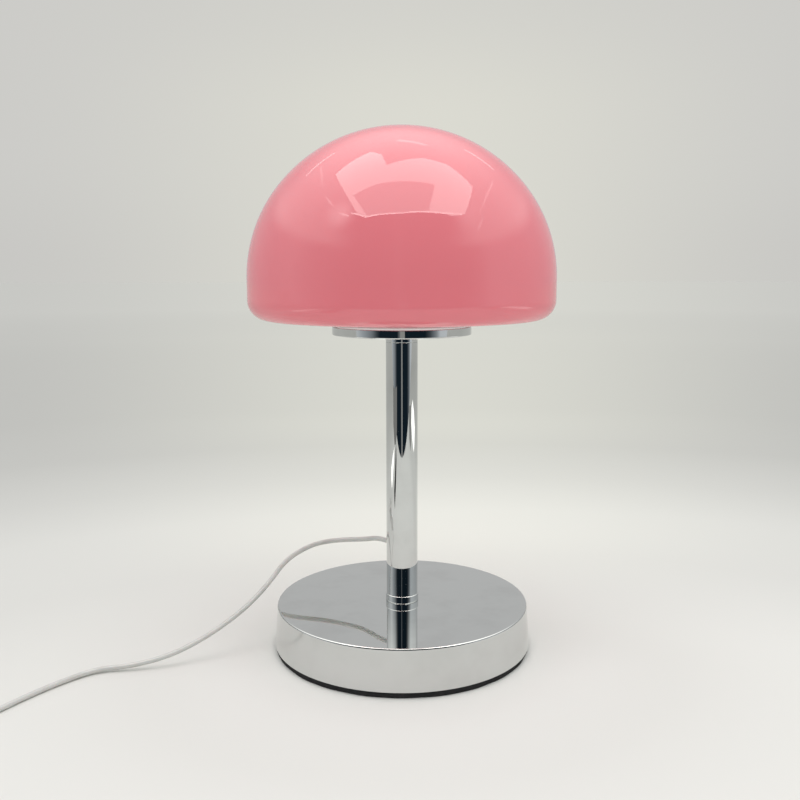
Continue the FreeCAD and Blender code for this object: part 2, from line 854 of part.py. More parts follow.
def coil_path():
    """The put-away length, wound in four layers, as one unbroken path with straight ends."""
    turns, near = size("coil_turns"), 1e-4
    stations = coil_stations()
    points = [coil_point(turn) for turn in stations]
    headings = [
        (coil_point(min(turn + near, turns)) - coil_point(max(turn - near, 0))).normalize()
        for turn in stations
    ]
    headings[0] = headings[-1] = FreeCAD.Vector(0, 1, 0)
    stub = headings[0] * size("cord_diameter")
    edges = [Part.LineSegment(points[0] - stub, points[0]).toShape()]
    for k in range(len(points) - 1):
        edges += biarc(points[k], headings[k], points[k + 1], headings[k + 1])
    edges.append(Part.LineSegment(points[-1], points[-1] + stub).toShape())
    path = Part.Wire(edges)
    samples = [coil_point(turns * k / 600) for k in range(601)]
    apart = 40  # samples that lie further along the cord than a half turn
    gap = min(
        (p - q).Length for k, p in enumerate(samples) for q in samples[k + apart :]
    ) - size("cord_diameter")
    print(f"cord_coil: length {path.Length:.1f}, least gap to itself {gap:.2f}")
    return path, points[0], stub


def place_coil(along):
    """Lays the coil on the table, its first straight end along the put-away line."""
    path, first, stub = coil_path()
    coil = add_shape("cord_coil", cord_along("cord_coil", path, first - stub, stub))
    round_up = FreeCAD.Rotation(FreeCAD.Vector(0, 0, 1), size("stow_turn") - 90)
    start = stowed(along, STOW_OUT, size("cord_diameter") / 2)
    coil.Placement = FreeCAD.Placement(start - round_up.multVec(first - stub), round_up)


def add_slab(sketch, length, width, corner):
    """A rectangle about the origin with rounded corners."""
    bend = size(corner)
    across, up = f"({length})/2 - ({corner})", f"({width})/2 - ({corner})"
    arcs = []
    for quarter, (sx, sy) in enumerate([("", "-"), ("", ""), ("-", ""), ("-", "-")]):
        place = (f"{sx}({across})", f"{sy}({up})")
        centre = FreeCAD.Vector(size(place[0]), size(place[1]), 0)
        circle = Part.Circle(centre, FreeCAD.Vector(0, 0, 1), bend)
        start = (quarter - 1) * math.pi / 2
        arc = sketch.addGeometry(Part.ArcOfCircle(circle, start, start + math.pi / 2))
        pin(sketch, arc, 3, *place)
        rule = sketch.addConstraint(Sketcher.Constraint("Radius", arc, bend))
        sketch.setExpression(f"Constraints[{rule}]", bound(corner))
        arcs.append(arc)
    for first, second in zip(arcs, arcs[1:] + arcs[:1]):
        ends = [sketch.getPoint(first, 2), sketch.getPoint(second, 1)]
        line = sketch.addGeometry(Part.LineSegment(*ends))
        sketch.addConstraint(Sketcher.Constraint("Tangent", first, 2, line, 1))
        sketch.addConstraint(Sketcher.Constraint("Tangent", line, 2, second, 1))


def new_stowed_body(label, along, height="0"):
    """A piece on the put-away part of the cord, its own X along the cord's line."""
    body = new_body(label, height)
    body.Placement = FreeCAD.Placement(
        stowed(along, STOW_OUT, 0), FreeCAD.Rotation(FreeCAD.Vector(0, 0, 1), size("stow_turn"))
    )
    body.setExpression("Placement.Rotation.Angle", bound("stow_turn"))
    return body


# Heights inside the switch, above the table.
tact_under = "(switch_wall + board_rib_height + switch_board_thickness)"
tact_top = f"({tact_under} + tact_height)"
stem_foot = f"({tact_top} + button_travel + button_reserve)"
lip_top = "(switch_height - switch_wall - button_lip_gap)"
case_screw_hole = "(case_screw_radius + thread_clearance)"
plunger_bore = "(plunger_radius + plunger_clearance)"
plug_axis = "plug_height/2"


def add_four_circles(sketch, radius):
    """One circle at each of the switch's four screws."""
    for across in ("case_screw_spacing/2", "-case_screw_spacing/2"):
        for up in ("case_screw_gauge/2", "-case_screw_gauge/2"):
            add_circle(sketch, radius, across, up)


def notch_for_cord(body):
    """Cuts the cord's way in through both end walls, half in each part of the case."""
    notch = new_sketch(body, "YZ_Plane")
    add_circle(notch, cord_bore, up="switch_cord_height")
    extrude(body, notch, "switch_length + 2", kind="Pocket", middle=True)


def switch_base(middle):
    """Lower half of the in-line switch's case, with ribs under the board and screw bosses."""
    body = new_stowed_body("switch_base", middle)
    outline = new_sketch(body, "XY_Plane")
    add_slab(outline, "switch_length", "switch_width", "switch_round")
    extrude(body, outline, "switch_cord_height")
    soften(body, "case_foot_bevel", lambda edge: edge.BoundBox.ZMax < 1e-3, "Chamfer")
    hollow = new_sketch(body, "XY_Plane", "switch_wall")
    inside = ("switch_length - 2*switch_wall", "switch_width - 2*switch_wall")
    add_slab(hollow, *inside, "switch_round - switch_wall")
    extrude(body, hollow, "switch_cord_height", kind="Pocket", reverse=True)
    bosses = new_sketch(body, "XY_Plane", "switch_wall")
    add_four_circles(bosses, "case_boss_radius")
    extrude(body, bosses, "switch_cord_height - switch_wall")
    for side in ("", "-"):
        rib = new_sketch(body, "XY_Plane", "switch_wall")
        add_rectangle(rib, "board_rib_width", "switch_board_width", f"{side}board_rib_spacing/2")
        extrude(body, rib, "board_rib_height")
    holes = new_sketch(body, "XY_Plane")
    add_four_circles(holes, case_screw_hole)
    extrude(body, holes, "switch_cord_height", kind="Pocket", reverse=True)
    seats = new_sketch(body, "XY_Plane")
    add_four_circles(seats, "(case_screw_head_radius + thread_clearance)")
    extrude(body, seats, "case_screw_seat", kind="Pocket", reverse=True)
    notch_for_cord(body)


def switch_cover(middle):
    """Upper half of the case, with the button's hole and blind bosses for the screws."""
    body = new_stowed_body("switch_cover", middle)
    outline = new_sketch(body, "XY_Plane", "switch_cord_height")
    add_slab(outline, "switch_length", "switch_width", "switch_round")
    extrude(body, outline, "switch_height - switch_cord_height")
    top = size("switch_height") - 1e-3
    soften(body, "case_top_bevel", lambda edge: edge.BoundBox.ZMin > top, "Chamfer")
    hollow = new_sketch(body, "XY_Plane", "switch_cord_height")
    inside = ("switch_length - 2*switch_wall", "switch_width - 2*switch_wall")
    add_slab(hollow, *inside, "switch_round - switch_wall")
    depth = "(switch_height - switch_wall - switch_cord_height)"
    extrude(body, hollow, depth, kind="Pocket", reverse=True)
    bosses = new_sketch(body, "XY_Plane", "switch_cord_height")
    add_four_circles(bosses, "case_boss_radius")
    extrude(body, bosses, depth)
    holes = new_sketch(body, "XY_Plane", "switch_cord_height")
    add_four_circles(holes, case_screw_hole)
    reach = "(case_screw_seat + case_screw_length + case_hole_reserve - switch_cord_height)"
    extrude(body, holes, reach, kind="Pocket", reverse=True)
    window = new_sketch(body, "XY_Plane", "switch_cord_height")
    add_circle(window, "(button_radius + button_clearance)")
    extrude(body, window, "switch_height", kind="Pocket", reverse=True)
    notch_for_cord(body)


def switch_inside(middle):
    """Board, push switch with its plunger, button and screws, stacked inside the case."""
    board = new_stowed_body("switch_board", middle, f"({tact_under} - switch_board_thickness)")
    sketch = new_sketch(board, "XY_Plane")
    add_rectangle(sketch, "switch_board_length", "switch_board_width")
    extrude(board, sketch, "switch_board_thickness")

    tact = new_stowed_body("tact_body", middle, tact_under)
    sketch = new_sketch(tact, "XY_Plane")
    add_rectangle(sketch, "tact_side", "tact_side")
    add_circle(sketch, plunger_bore)
    extrude(tact, sketch, "tact_height")

    plunger_foot = f"({tact_under} + button_travel + plunger_reserve)"
    plunger = new_stowed_body("tact_plunger", middle, plunger_foot)
    sketch = new_sketch(plunger, "XY_Plane")
    add_circle(sketch, "plunger_radius")
    extrude(plunger, sketch, f"{stem_foot} - {plunger_foot}")

    button = new_stowed_body("switch_button", middle)
    lip, lip_under = "(button_radius + button_lip)", f"({lip_top} - button_lip)"
    button_top = "(switch_height + button_stand)"
    sketch = new_sketch(button)
    profile = [("0", stem_foot), ("button_stem_radius", stem_foot), ("button_stem_radius", lip_under)]
    profile += [(lip, lip_under), (lip, lip_top), ("button_radius", lip_top)]
    profile += [("button_radius", button_top), ("0", button_top)]
    add_outline(sketch, profile)
    turn(button, sketch)
    soften(button, "button_bevel", ring_edge("button_radius", button_top), "Chamfer")

    screws = new_stowed_body("switch_screws", middle, "case_screw_seat")
    heads = new_sketch(screws, "XY_Plane")
    add_four_circles(heads, "case_screw_head_radius")
    extrude(screws, heads, "case_screw_head", reverse=True)
    shanks = new_sketch(screws, "XY_Plane")
    add_four_circles(shanks, "case_screw_radius")
    extrude(screws, shanks, "case_screw_length")


def plug_body(along):
    """Moulded flat plug with a tapered strain relief that the cord runs into."""
    body = new_stowed_body("plug_body", along, plug_axis)
    relief = new_sketch(body)
    add_outline(
        relief,
        [
            ("0", "0"),
            ("0", "relief_end_radius"),
            ("relief_length", "relief_root_radius"),
            ("relief_length + plug_round", "relief_root_radius"),
            ("relief_length + plug_round", "0"),
        ],
    )
    turn(body, relief, axis="H_Axis")
    block = new_sketch(body, "YZ_Plane", "relief_length")
    add_slab(block, "plug_width", "plug_height", "plug_round")
    extrude(body, block, "plug_length")
    socket = new_sketch(body, "YZ_Plane", "relief_length + plug_length - shell_inside")
    fit = "2*cord_clearance"
    add_rectangle(socket, f"shell_width + {fit}", f"shell_height + {fit}")
    extrude(body, socket, "shell_inside + 1", kind="Pocket", reverse=True)


def plug_inside(along):
    """The plug's steel shell, the insulating tongue inside it and four gilded contacts."""
    rear = "(relief_length + plug_length - shell_inside)"
    shell = new_stowed_body("plug_shell", along, plug_axis)
    sketch = new_sketch(shell, "YZ_Plane", rear)
    add_rectangle(sketch, "shell_width", "shell_height")
    add_rectangle(sketch, "shell_width - 2*shell_leaf", "shell_height - 2*shell_leaf")
    extrude(shell, sketch, "shell_length")
    for side in ("", "-"):
        window = new_sketch(shell, "XY_Plane")
        mouth_end = f"{rear} + shell_length - shell_window_back - shell_window/2"
        place = (mouth_end, f"{side}shell_window_spacing/2")
        add_rectangle(window, "shell_window", "shell_window", *place)
        extrude(shell, window, "shell_height + 1", kind="Pocket", middle=True)

    floor = f"({plug_axis} - shell_height/2 + shell_leaf)"
    tongue = new_stowed_body("plug_tongue", along, floor)
    inner_width = "(shell_width - 2*shell_leaf - 2*tongue_clearance)"
    block = new_sketch(tongue, "XY_Plane")
    block_middle = f"{rear} + shell_inside/2"
    add_rectangle(block, "shell_inside", inner_width, block_middle)
    extrude(tongue, block, "shell_height - 2*shell_leaf - tongue_clearance")
    blade = new_sketch(tongue, "XY_Plane")
    reach = "(shell_length - tongue_setback)"
    add_rectangle(blade, reach, inner_width, f"{rear} + {reach}/2")
    extrude(tongue, blade, "tongue_height")

    contacts = new_stowed_body("plug_contacts", along, f"({floor} + tongue_height)")
    sketch = new_sketch(contacts, "XY_Plane")
    middle = f"{rear} + shell_inside + contact_length/2 + contact_width"
    for pitch in (-3.5, -1, 1, 3.5):
        add_rectangle(sketch, "contact_length", "contact_width", middle, f"{pitch}*contact_width")
    extrude(contacts, sketch, "contact_leaf")


def cord_grommet():
    """Soft grommet in the column's cord hole, its outer flange shaped to the tube."""
    body = new_body("cord_grommet", at="cord_hole_height")
    flange = new_sketch(body, "YZ_Plane", f"({tube_bore} - grommet_neck)")
    add_circle(flange, "grommet_flange_radius")
    extrude(body, flange, "tube_wall + grommet_neck + grommet_flange")
    saddle = new_sketch(body)
    half = "(grommet_flange_radius + 1)"
    add_outline(
        saddle, [("0", f"-{half}"), ("tube_radius", f"-{half}"), ("tube_radius", half), ("0", half)]
    )
    turn(body, saddle, kind="Groove")
    neck = new_sketch(body, "YZ_Plane", f"({tube_bore} - grommet_neck)")
    add_circle(neck, "(cord_hole_radius - cord_clearance)")
    extrude(body, neck, "tube_wall + grommet_neck + grommet_flange/2")
    barb = new_sketch(body, "YZ_Plane", f"({tube_bore} - grommet_neck - grommet_barb)")
    add_circle(barb, "grommet_barb_radius")
    extrude(body, barb, "grommet_barb")
    bore = new_sketch(body, "YZ_Plane")
    add_circle(bore, cord_bore)
    extrude(body, bore, "tube_radius + grommet_flange + 1", kind="Pocket", reverse=True)
    body.setExpression("Placement.Rotation.Angle", bound("cord_hole_turn"))


# The way in from the grommet and up the column: distance from its axis, height above the hole.
INNER_ROUTE = [
    (1, 0),
    (-3.2, 2.4),
    (-5.6, 6.6),
    (-5.6, 15.4),
    (-3.5, 31.4),
    (0.4, 51.4),
    (-0.2, 97.4),
]


def cords():
    """The cord from the light's board to the plug, in stretches that meet end to end."""
    low = size("cord_diameter") / 2
    hole, hole_turn = size("cord_hole_height"), size("cord_hole_turn")
    start = turned_point(size("tube_radius + grommet_flange"), hole_turn, hole)
    inner = [turned_point(far, hole_turn, hole + up) for far, up in INNER_ROUTE]
    cord_through("inner_cord", [start] + inner + [FreeCAD.Vector(0, 0, size(board_top))])
    first = turned_point(FIRST_RUN, hole_turn, hole)
    entry = size("switch_cord_height")
    switch_at, switch_end = SWITCH_ALONG, SWITCH_ALONG + size("switch_length")
    run = [start, first] + [FreeCAD.Vector(*point) for point in ROUTE]
    run += [stowed(switch_at - run_in, STOW_OUT, entry) for run_in in (ENTRY_RUN, 0)]
    cord_through("cord_run", run)
    coil_at = switch_end + LINK_LENGTH
    heights = [entry, entry, (entry + low) / 2, low, low]
    places = [switch_end + along for along in (0, *LINK_RUNS, LINK_LENGTH)]
    cord_through("cord_link", [stowed(at, STOW_OUT, up) for at, up in zip(places, heights)])
    place_coil(coil_at)
    high = low + (size("coil_layers") - 1) * size("cord_diameter + coil_gap")
    tail_at = coil_at + 2 * size("cord_diameter")
    axis = size(plug_axis)
    heights = [high, high, high - TAIL_DROPS[0], axis + TAIL_DROPS[1], axis, axis]
    places = [tail_at + along for along in (0, *TAIL_RUNS, TAIL_LENGTH)]
    cord_through("cord_tail", [stowed(at, STOW_OUT, up) for at, up in zip(places, heights)])
    return switch_at, switch_end, tail_at + TAIL_LENGTH


def switch_leads(switch_at, switch_end):
    """The two cord ends inside the case, each laid down on the board."""
    entry, board = size("switch_cord_height"), size(tact_under) + cord_flat()
    solids = []
    for wall, ahead in ((switch_at, 1), (switch_end, -1)):
        steps = [(0, entry), (6, entry), (12, board), (17, board)]
        points = [stowed(wall + ahead * along, STOW_OUT, up) for along, up in steps]
        solids.append(cord_solid("switch_leads", points))
    add_shape("switch_leads", Part.makeCompound(solids))


base_pad()
base_shell()
base_weight()
base_fixing()
column()
head_fixing()
shade_tray()
light_cup()
light_board()
light_diffuser()
shade_clips()
glass_shade()
cord_grommet()
switch_at, switch_end, plug_at = cords()
switch_leads(switch_at, switch_end)
switch_middle = (switch_at + switch_end) / 2
switch_base(switch_middle)
switch_cover(switch_middle)
switch_inside(switch_middle)
plug_body(plug_at)
plug_inside(plug_at)
doc.recompute()

for item in doc.Objects:
    if {"Invalid", "Error"} & set(item.State):
        raise RuntimeError(f"{item.Label} is {item.State}")
os.makedirs("parts", exist_ok=True)
for piece in pieces:
    shape = piece.Shape
    if shape.isNull() or not shape.isValid():
        raise RuntimeError(f"{piece.Label} has no valid shape")
    box = shape.BoundBox
    print(
        f"{piece.Label}: {len(shape.Solids)} solid(s), {shape.Volume:.0f} mm3,"
        f" z {box.ZMin:.2f} to {box.ZMax:.2f}"
    )
    shape.exportStep(f"parts/{piece.Label}.step")
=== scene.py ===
import bpy
import numpy as np
from mathutils import Euler, Matrix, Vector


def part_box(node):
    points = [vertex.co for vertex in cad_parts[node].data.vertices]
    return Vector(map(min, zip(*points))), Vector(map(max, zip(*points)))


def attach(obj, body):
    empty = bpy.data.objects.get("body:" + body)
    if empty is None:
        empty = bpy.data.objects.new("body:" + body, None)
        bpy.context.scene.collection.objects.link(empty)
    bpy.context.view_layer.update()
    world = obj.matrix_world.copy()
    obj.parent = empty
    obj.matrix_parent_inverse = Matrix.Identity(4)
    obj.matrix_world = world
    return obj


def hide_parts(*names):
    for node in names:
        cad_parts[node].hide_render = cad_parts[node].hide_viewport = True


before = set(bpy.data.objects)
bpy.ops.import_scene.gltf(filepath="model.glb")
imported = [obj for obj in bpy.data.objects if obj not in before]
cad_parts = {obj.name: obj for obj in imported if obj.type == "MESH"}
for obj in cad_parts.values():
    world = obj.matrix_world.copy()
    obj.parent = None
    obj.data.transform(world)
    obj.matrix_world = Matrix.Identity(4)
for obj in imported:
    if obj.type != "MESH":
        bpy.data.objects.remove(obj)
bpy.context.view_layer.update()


# ---- The table, the room and the light -----------------------------------------------------------
# A pale table top that runs out of sight, with a grey studio past it. A soft pool of light behind
# the lamp, and light round the base, are painted into the table's colour. The chrome also mirrors
# what stands in front: a dark room past the table's edge, and pale walls to its left and right.


class Wire:
    """A value on its way through a node tree. Its sums, products and so on add Math nodes."""

    def __init__(self, nodes, socket):
        self.nodes = nodes
        self.socket = socket

    def maths(self, operation, *values):
        """One Math node over these values or wires."""
        sockets = dict(enumerate(values))
        return self.nodes.node("ShaderNodeMath", {"operation": operation}, sockets)

    def __add__(self, other):
        return self.maths("ADD", self, other)

    def __sub__(self, other):
        return self.maths("SUBTRACT", self, other)

    def __mul__(self, other):
        return self.maths("MULTIPLY", self, other)

    def __truediv__(self, other):
        return self.maths("DIVIDE", self, other)

    __radd__ = __add__


class Nodes:
    """A node tree of a material or of the world. All its nodes come from node()."""

    def __init__(self, tree):
        self.tree = tree

    def node(self, kind, settings=(), sockets=(), out=0):
        """A node of this kind: its settings first, then the values or wires of its sockets."""
        made = self.tree.nodes.new(kind)
        for name, value in dict(settings).items():
            if name == "stops":
                elements = made.color_ramp.elements
                while len(elements) < len(value):
                    elements.new(0.5)
                for element, (place, colour) in zip(elements, value):
                    element.position = place
                    element.color = (*colour, 1.0)
            else:
                setattr(made, name, value)
        for name, value in dict(sockets).items():
            self.join(made.inputs[name], value)
        return Wire(self, made.outputs[out])

    def join(self, socket, value):
        """Links a wire to a socket, or sets a plain value on it."""
        if isinstance(value, Wire):
            self.tree.links.new(value.socket, socket)
        elif isinstance(value, tuple) and len(value) == 3 and socket.type == "RGBA":
            socket.default_value = (*value, 1.0)
        else:
            socket.default_value = value

    def place(self):
        """Object coordinates: the frame's own metres, because every object is at the origin."""
        return self.node("ShaderNodeTexCoord", out="Object")

    def axis(self, vector, letter):
        """One of a vector's parts: X, Y or Z."""
        return self.node("ShaderNodeSeparateXYZ", {}, {"Vector": vector}, letter)

    def vectors(self, operation, *values, out="Value"):
        """One Vector Math node over these vectors."""
        sockets = dict(enumerate(values))
        return self.node("ShaderNodeVectorMath", {"operation": operation}, sockets, out)

    def noise(self, size, detail=2.0, roughness=0.5, stretch=(1.0, 1.0, 1.0), turn=0.0):
        """Cloudy noise with features of this size in metres, longer along a stretched axis."""
        scale = tuple(1.0 / (size * part) for part in stretch)
        settings = {"Vector": self.place(), "Scale": scale, "Rotation": (0.0, 0.0, turn)}
        where = self.node("ShaderNodeMapping", {"vector_type": "POINT"}, settings)
        sockets = {"Vector": where, "Scale": 1.0, "Detail": detail, "Roughness": roughness}
        return self.node("ShaderNodeTexNoise", {}, sockets)

    def between(self, value, low, high, first=0.0, last=1.0):
        """Where value goes from low to high, the result goes smoothly from first to last."""
        sockets = {0: value, 1: low, 2: high, 3: first, 4: last}
        return self.node("ShaderNodeMapRange", {"interpolation_type": "SMOOTHSTEP"}, sockets)

    def blend(self, share, first, second):
        """A mix of two colours by a share from 0 to 1."""
        sockets = {0: share, 6: first, 7: second}
        return self.node("ShaderNodeMix", {"data_type": "RGBA"}, sockets, out=2)

    def bump(self, height, depth):
        """Relief: height from 0 to 1 stands for this depth in metres."""
        sockets = {"Height": height, "Distance": depth, "Strength": 1.0}
        return self.node("ShaderNodeBump", {}, sockets)

    def ramp_by_turn(self, direction, stops):
        """A colour from the compass turn of a direction, in degrees from the front to the right."""
        across, deep = self.axis(direction, "X"), self.axis(direction, "Y")
        turn = across.maths("ARCTAN2", across, deep * -1.0) / (2.0 * np.pi) + 0.5
        places = [((at + 180.0) / 360.0, colour) for at, colour in stops]
        return self.node("ShaderNodeValToRGB", {"stops": places}, {"Fac": turn})


class Finish(Nodes):
    """One material. Its constants go straight on the shader."""

    def __init__(self, name, **constants):
        self.material = bpy.data.materials.new(name)
        self.material.use_nodes = True
        super().__init__(self.material.node_tree)
        self.shader = self.tree.nodes["Principled BSDF"]
        self.feed(**constants)

    def feed(self, **values):
        """Gives the shader its values: base_color=... feeds Base Color, and so on."""
        for name, value in values.items():
            words = name.replace("_", " ").title().replace("Ior", "IOR")
            self.join(self.shader.inputs[words], value)


def joined(name, points, cells):
    """A mesh through points; cells are rows of four corner numbers, a repeated one a triangle."""
    sharp_angle = np.radians(38.0)
    cells = np.asarray(cells)
    same = cells == np.roll(cells, -1, axis=1)
    quads = cells[~same.any(axis=1)]
    flat = cells[same.any(axis=1)]
    thin = flat[~same[same.any(axis=1)]].reshape(-1, 3)
    mesh = bpy.data.meshes.new(name)
    mesh.from_pydata(np.asarray(points).tolist(), [], quads.tolist() + thin.tolist())
    mesh.shade_smooth()
    mesh.set_sharp_from_angle(angle=sharp_angle)
    piece = bpy.data.objects.new(name, mesh)
    bpy.context.scene.collection.objects.link(piece)
    return piece


def paint(piece, finish):
    """Puts one material on a piece, or in place of every material of a carried-over one."""
    slots = piece.data.materials
    if not slots:
        slots.append(finish.material)
    for number in range(len(slots)):
        slots[number] = finish.material
    return piece


def coat(finish, *nodes):
    """Puts one material on these carried-over CAD nodes."""
    for node in nodes:
        paint(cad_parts[node], finish)


table_finish = Finish("pale table", roughness=0.7, specular_ior_level=0.0)
spot = table_finish.place()
brightest_spot, farthest = (0.06, -0.35, 0.0), 5.0
aside = table_finish.vectors("DISTANCE", spot, brightest_spot)
# Metres from the brightest spot, and the table's painted light level there.
painted_light_levels = [
    (0.20, 0.735), (0.38, 0.715), (0.52, 0.635), (0.66, 0.620), (0.80, 0.550), (1.00, 0.485),
    (1.31, 0.480), (2.00, 0.526), (2.90, 0.574), (5.00, 0.622),
]
stops = [(at / farthest, (0.998 * shade, shade, 0.958 * shade)) for at, shade in painted_light_levels]
table_colour = table_finish.node("ShaderNodeValToRGB", {"stops": stops}, {"Fac": aside / farthest})
from_lamp = table_finish.vectors("LENGTH", spot)
across, deep = table_finish.axis(spot, "X"), table_finish.axis(spot, "Y")
# Painted light: the table is painted lighter round the base, most in front of it, where the chrome
# would throw light back.
by_the_base = table_finish.between(from_lamp, 0.08, 0.17, 0.45, 0.0)
painted_bounce = by_the_base * table_finish.between(deep, -0.06, 0.03, 1.0, 0.0)
table_colour = table_finish.blend(painted_bounce, table_colour, (0.93, 0.94, 0.91))
# Painted light: a soft pool of light behind the lamp, fanning out away from the front, is
# multiplied into the table's colour.
fan_tip, fan_lean, fan_half = 0.545, 0.04, 0.5
off_centre = across / across.maths("MAXIMUM", deep + fan_tip, 0.1) - fan_lean
off_centre = across.maths("ABSOLUTE", off_centre)
painted_pool = table_finish.between(off_centre, 0.0, fan_half, 1.0, 0.0)
painted_pool = painted_pool * table_finish.between(deep, 0.05, 0.25, 0.0, 0.5)
painted_pool = painted_pool * table_finish.between(deep, 0.45, 0.85, 1.0, 2.0)
painted_pool = painted_pool * table_finish.between(deep, 1.5, 4.0, 1.0, 0.70)
lit = table_finish.node(
    "ShaderNodeMix",
    {"data_type": "RGBA", "blend_type": "MULTIPLY"},
    {0: painted_pool, 6: table_colour, 7: (1.29, 1.29, 1.23)},
    out=2,
)
table_finish.feed(base_color=lit)
mirrored_ray = table_finish.node("ShaderNodeLightPath", out="Is Glossy Ray")
edge_from, edge_to = -0.585, -0.570
past_edge = table_finish.between(deep, edge_from, edge_to, 1.0, 0.0) * mirrored_ray
clear = table_finish.node("ShaderNodeBsdfTransparent")
whole = Wire(table_finish, table_finish.shader.outputs["BSDF"])
cut = table_finish.node("ShaderNodeMixShader", {}, {0: past_edge, 1: whole, 2: clear})
table_finish.join(table_finish.tree.nodes["Material Output"].inputs["Surface"], cut)
left, right, front, back = -9.0, 9.0, -6.0, 14.0
edges = [(left, front, 0.0), (right, front, 0.0), (right, back, 0.0), (left, back, 0.0)]
table = paint(joined("table", edges, [[0, 1, 2, 3]]), table_finish)

world = bpy.data.worlds.new("studio")
bpy.context.scene.world = world
world.use_nodes = True
room = Nodes(world.node_tree)
direction = room.node("ShaderNodeTexCoord", out="Generated")
# Degrees from the front to the right, the room's brightness there, and how much cooler it is.
walls = [
    (-180, 0.600, 0.00), (-150, 0.560, 0.00), (-107, 0.560, 0.02), (-85, 0.790, 0.02),
    (-66, 0.440, 0.03), (-50, 0.240, 0.02), (-41, 0.070, 0.01), (-36, 0.018, 0.008),
    (-7, 0.016, 0.008), (-3, 0.200, 0.010), (1, 0.016, 0.008), (38, 0.016, 0.008),
    (46, 0.070, 0.01), (52, 0.180, 0.02), (58, 0.320, 0.02), (65, 0.670, 0.03),
    (76, 0.690, 0.03), (96, 0.640, 0.02), (121, 0.560, 0.02), (150, 0.590, 0.00),
    (180, 0.600, 0.00),
]
mirrored = room.ramp_by_turn(direction, [(at, (v - cool, v, v + cool)) for at, v, cool in walls])
height, across, ahead = (room.axis(direction, letter) for letter in "ZXY")
wisps = [((-0.63, -0.35, 0.69), 0.27, 4.2), ((0.70, -0.28, 0.65), 0.34, 2.4)]
for towards, spread, glow in wisps:
    away = room.vectors("DISTANCE", direction, towards)
    near = room.between(away, 0.02, spread, 1.0, 0.0)
    mirrored = room.blend(near, mirrored, (glow, 0.99 * glow, 0.97 * glow))
sides = room.between(across * across, 0.18, 0.72) * room.between(height, 0.33, 0.47)
mirrored = room.blend(sides, mirrored, (1.60, 1.58, 1.53))
shaded = height + room.between(ahead, -0.8, 0.0, -0.26, 0.0)
mirrored = room.blend(room.between(shaded, 0.45, 0.95), mirrored, (2.25, 2.21, 2.13))
centre = room.between(across.maths("ABSOLUTE", across - 0.02), 0.0, 0.45, 1.0, 0.0)
centre = centre * room.between(height, 0.15, 0.28, 1.0, 0.4)
rise = room.between(height, 0.0, 0.12)
backdrop = room.blend(rise, (0.578, 0.574, 0.553), (0.604, 0.600, 0.578))
backdrop = room.blend(centre, backdrop, (0.708, 0.703, 0.640))
to_the_sides = across * across * 0.16 + across * 0.05 + 0.97
level = room.between(height, -0.1, 0.9, 0.80, 0.95) * to_the_sides
seen = room.node("ShaderNodeLightPath", out="Is Camera Ray")
shiny = room.node("ShaderNodeLightPath", out="Is Glossy Ray")
sky = room.blend(seen, room.blend(shiny, level, mirrored), backdrop)
room.join(world.node_tree.nodes["Background"].inputs["Color"], sky)


def glow_panel(name, corners, strength, height=1.20):
    """A flat lit panel that only shows where the glass and the chrome mirror it.

    A corner is (x, y) at the panel's height, or (x, y, z).
    """
    points = [(*corner, height)[:3] for corner in corners]
    mesh = bpy.data.meshes.new(name)
    mesh.from_pydata(points, [], [list(range(len(points)))])
    panel = bpy.data.objects.new(name, mesh)
    bpy.context.scene.collection.objects.link(panel)
    glow = Finish(name, base_color=(0.0, 0.0, 0.0), specular_ior_level=0.0)
    glow.feed(emission_color=(1.0, 0.985, 0.95), emission_strength=strength)
    panel.visible_camera = panel.visible_diffuse = panel.visible_shadow = False
    panel.visible_transmission = panel.visible_volume_scatter = False
    paint(panel, glow)


glow_panel("ceiling_light", [
    (-0.58, 0.17), (-0.23, 0.31), (-0.15, 0.21), (-0.12, -0.01), (0.16, 0.13), (0.38, 0.14),
    (0.71, 0.00), (0.89, -0.58), (0.74, -0.74), (0.28, -0.82), (-0.49, -0.88), (-0.62, -0.77),
], 5.0)
glow_panel("ceiling_opening", [
    (-0.52, -0.36), (-0.23, -0.29), (0.32, -0.27), (0.36, -0.80), (-0.27, -0.85), (-0.49, -0.86),
], 2.7, 1.19)
glow_panel("ceiling_edge", [
    (-0.66, -0.66), (-0.69, -0.68), (-0.52, -0.865), (-0.02, -0.875), (0.52, -0.765), (0.85, -0.62),
    (0.83, -0.60), (0.52, -0.735), (-0.02, -0.845), (-0.51, -0.835),
], 7.5, 1.18)
glow_panel("back_rail_left", [(-0.86, 0.76), (-0.50, 0.75), (-0.50, 0.78), (-0.86, 0.79)], 3.6)
glow_panel("back_rail_right", [(0.46, 0.79), (0.80, 0.85), (0.80, 0.88), (0.46, 0.82)], 3.6)
glow_panel("top_rail", [(-0.04, 0.50), (0.16, 0.42), (0.20, 0.46), (-0.02, 0.56)], 3.2)
glow_panel("side_rail_right", [
    (0.859, 0.484), (0.910, 0.082), (1.069, -0.379), (1.085, -0.374), (0.945, 0.105),
    (0.869, 0.496),
], 2.8)
glow_panel("fold_right", [
    (1.215, -0.413), (1.294, -0.619), (1.419, -0.818), (1.449, -0.815), (1.366, -0.602),
    (1.236, -0.405),
], 2.8)
glow_panel("fold_left", [
    (-0.853, -0.110), (-0.875, -0.252), (-0.868, -0.390), (-0.851, -0.388), (-0.829, -0.249),
    (-0.838, -0.110),
], 3.4)
glow_panel("corner_left", [
    (-0.873, -0.568), (-0.835, -0.666), (-0.768, -0.732), (-0.755, -0.717), (-0.796, -0.624),
    (-0.860, -0.555),
], 5.5)
glow_panel("side_rail_left", [
    (-0.670, 0.642), (-0.725, 0.368), (-0.789, 0.117), (-0.780, 0.105), (-0.701, 0.328),
    (-0.662, 0.623),
], 2.4)
glow_panel("doorway", [
    (-0.13, -3.0, -1.6), (0.25, -3.0, -1.6), (0.25, -3.0, 0.1), (-0.13, -3.0, 0.1),
], 0.34)
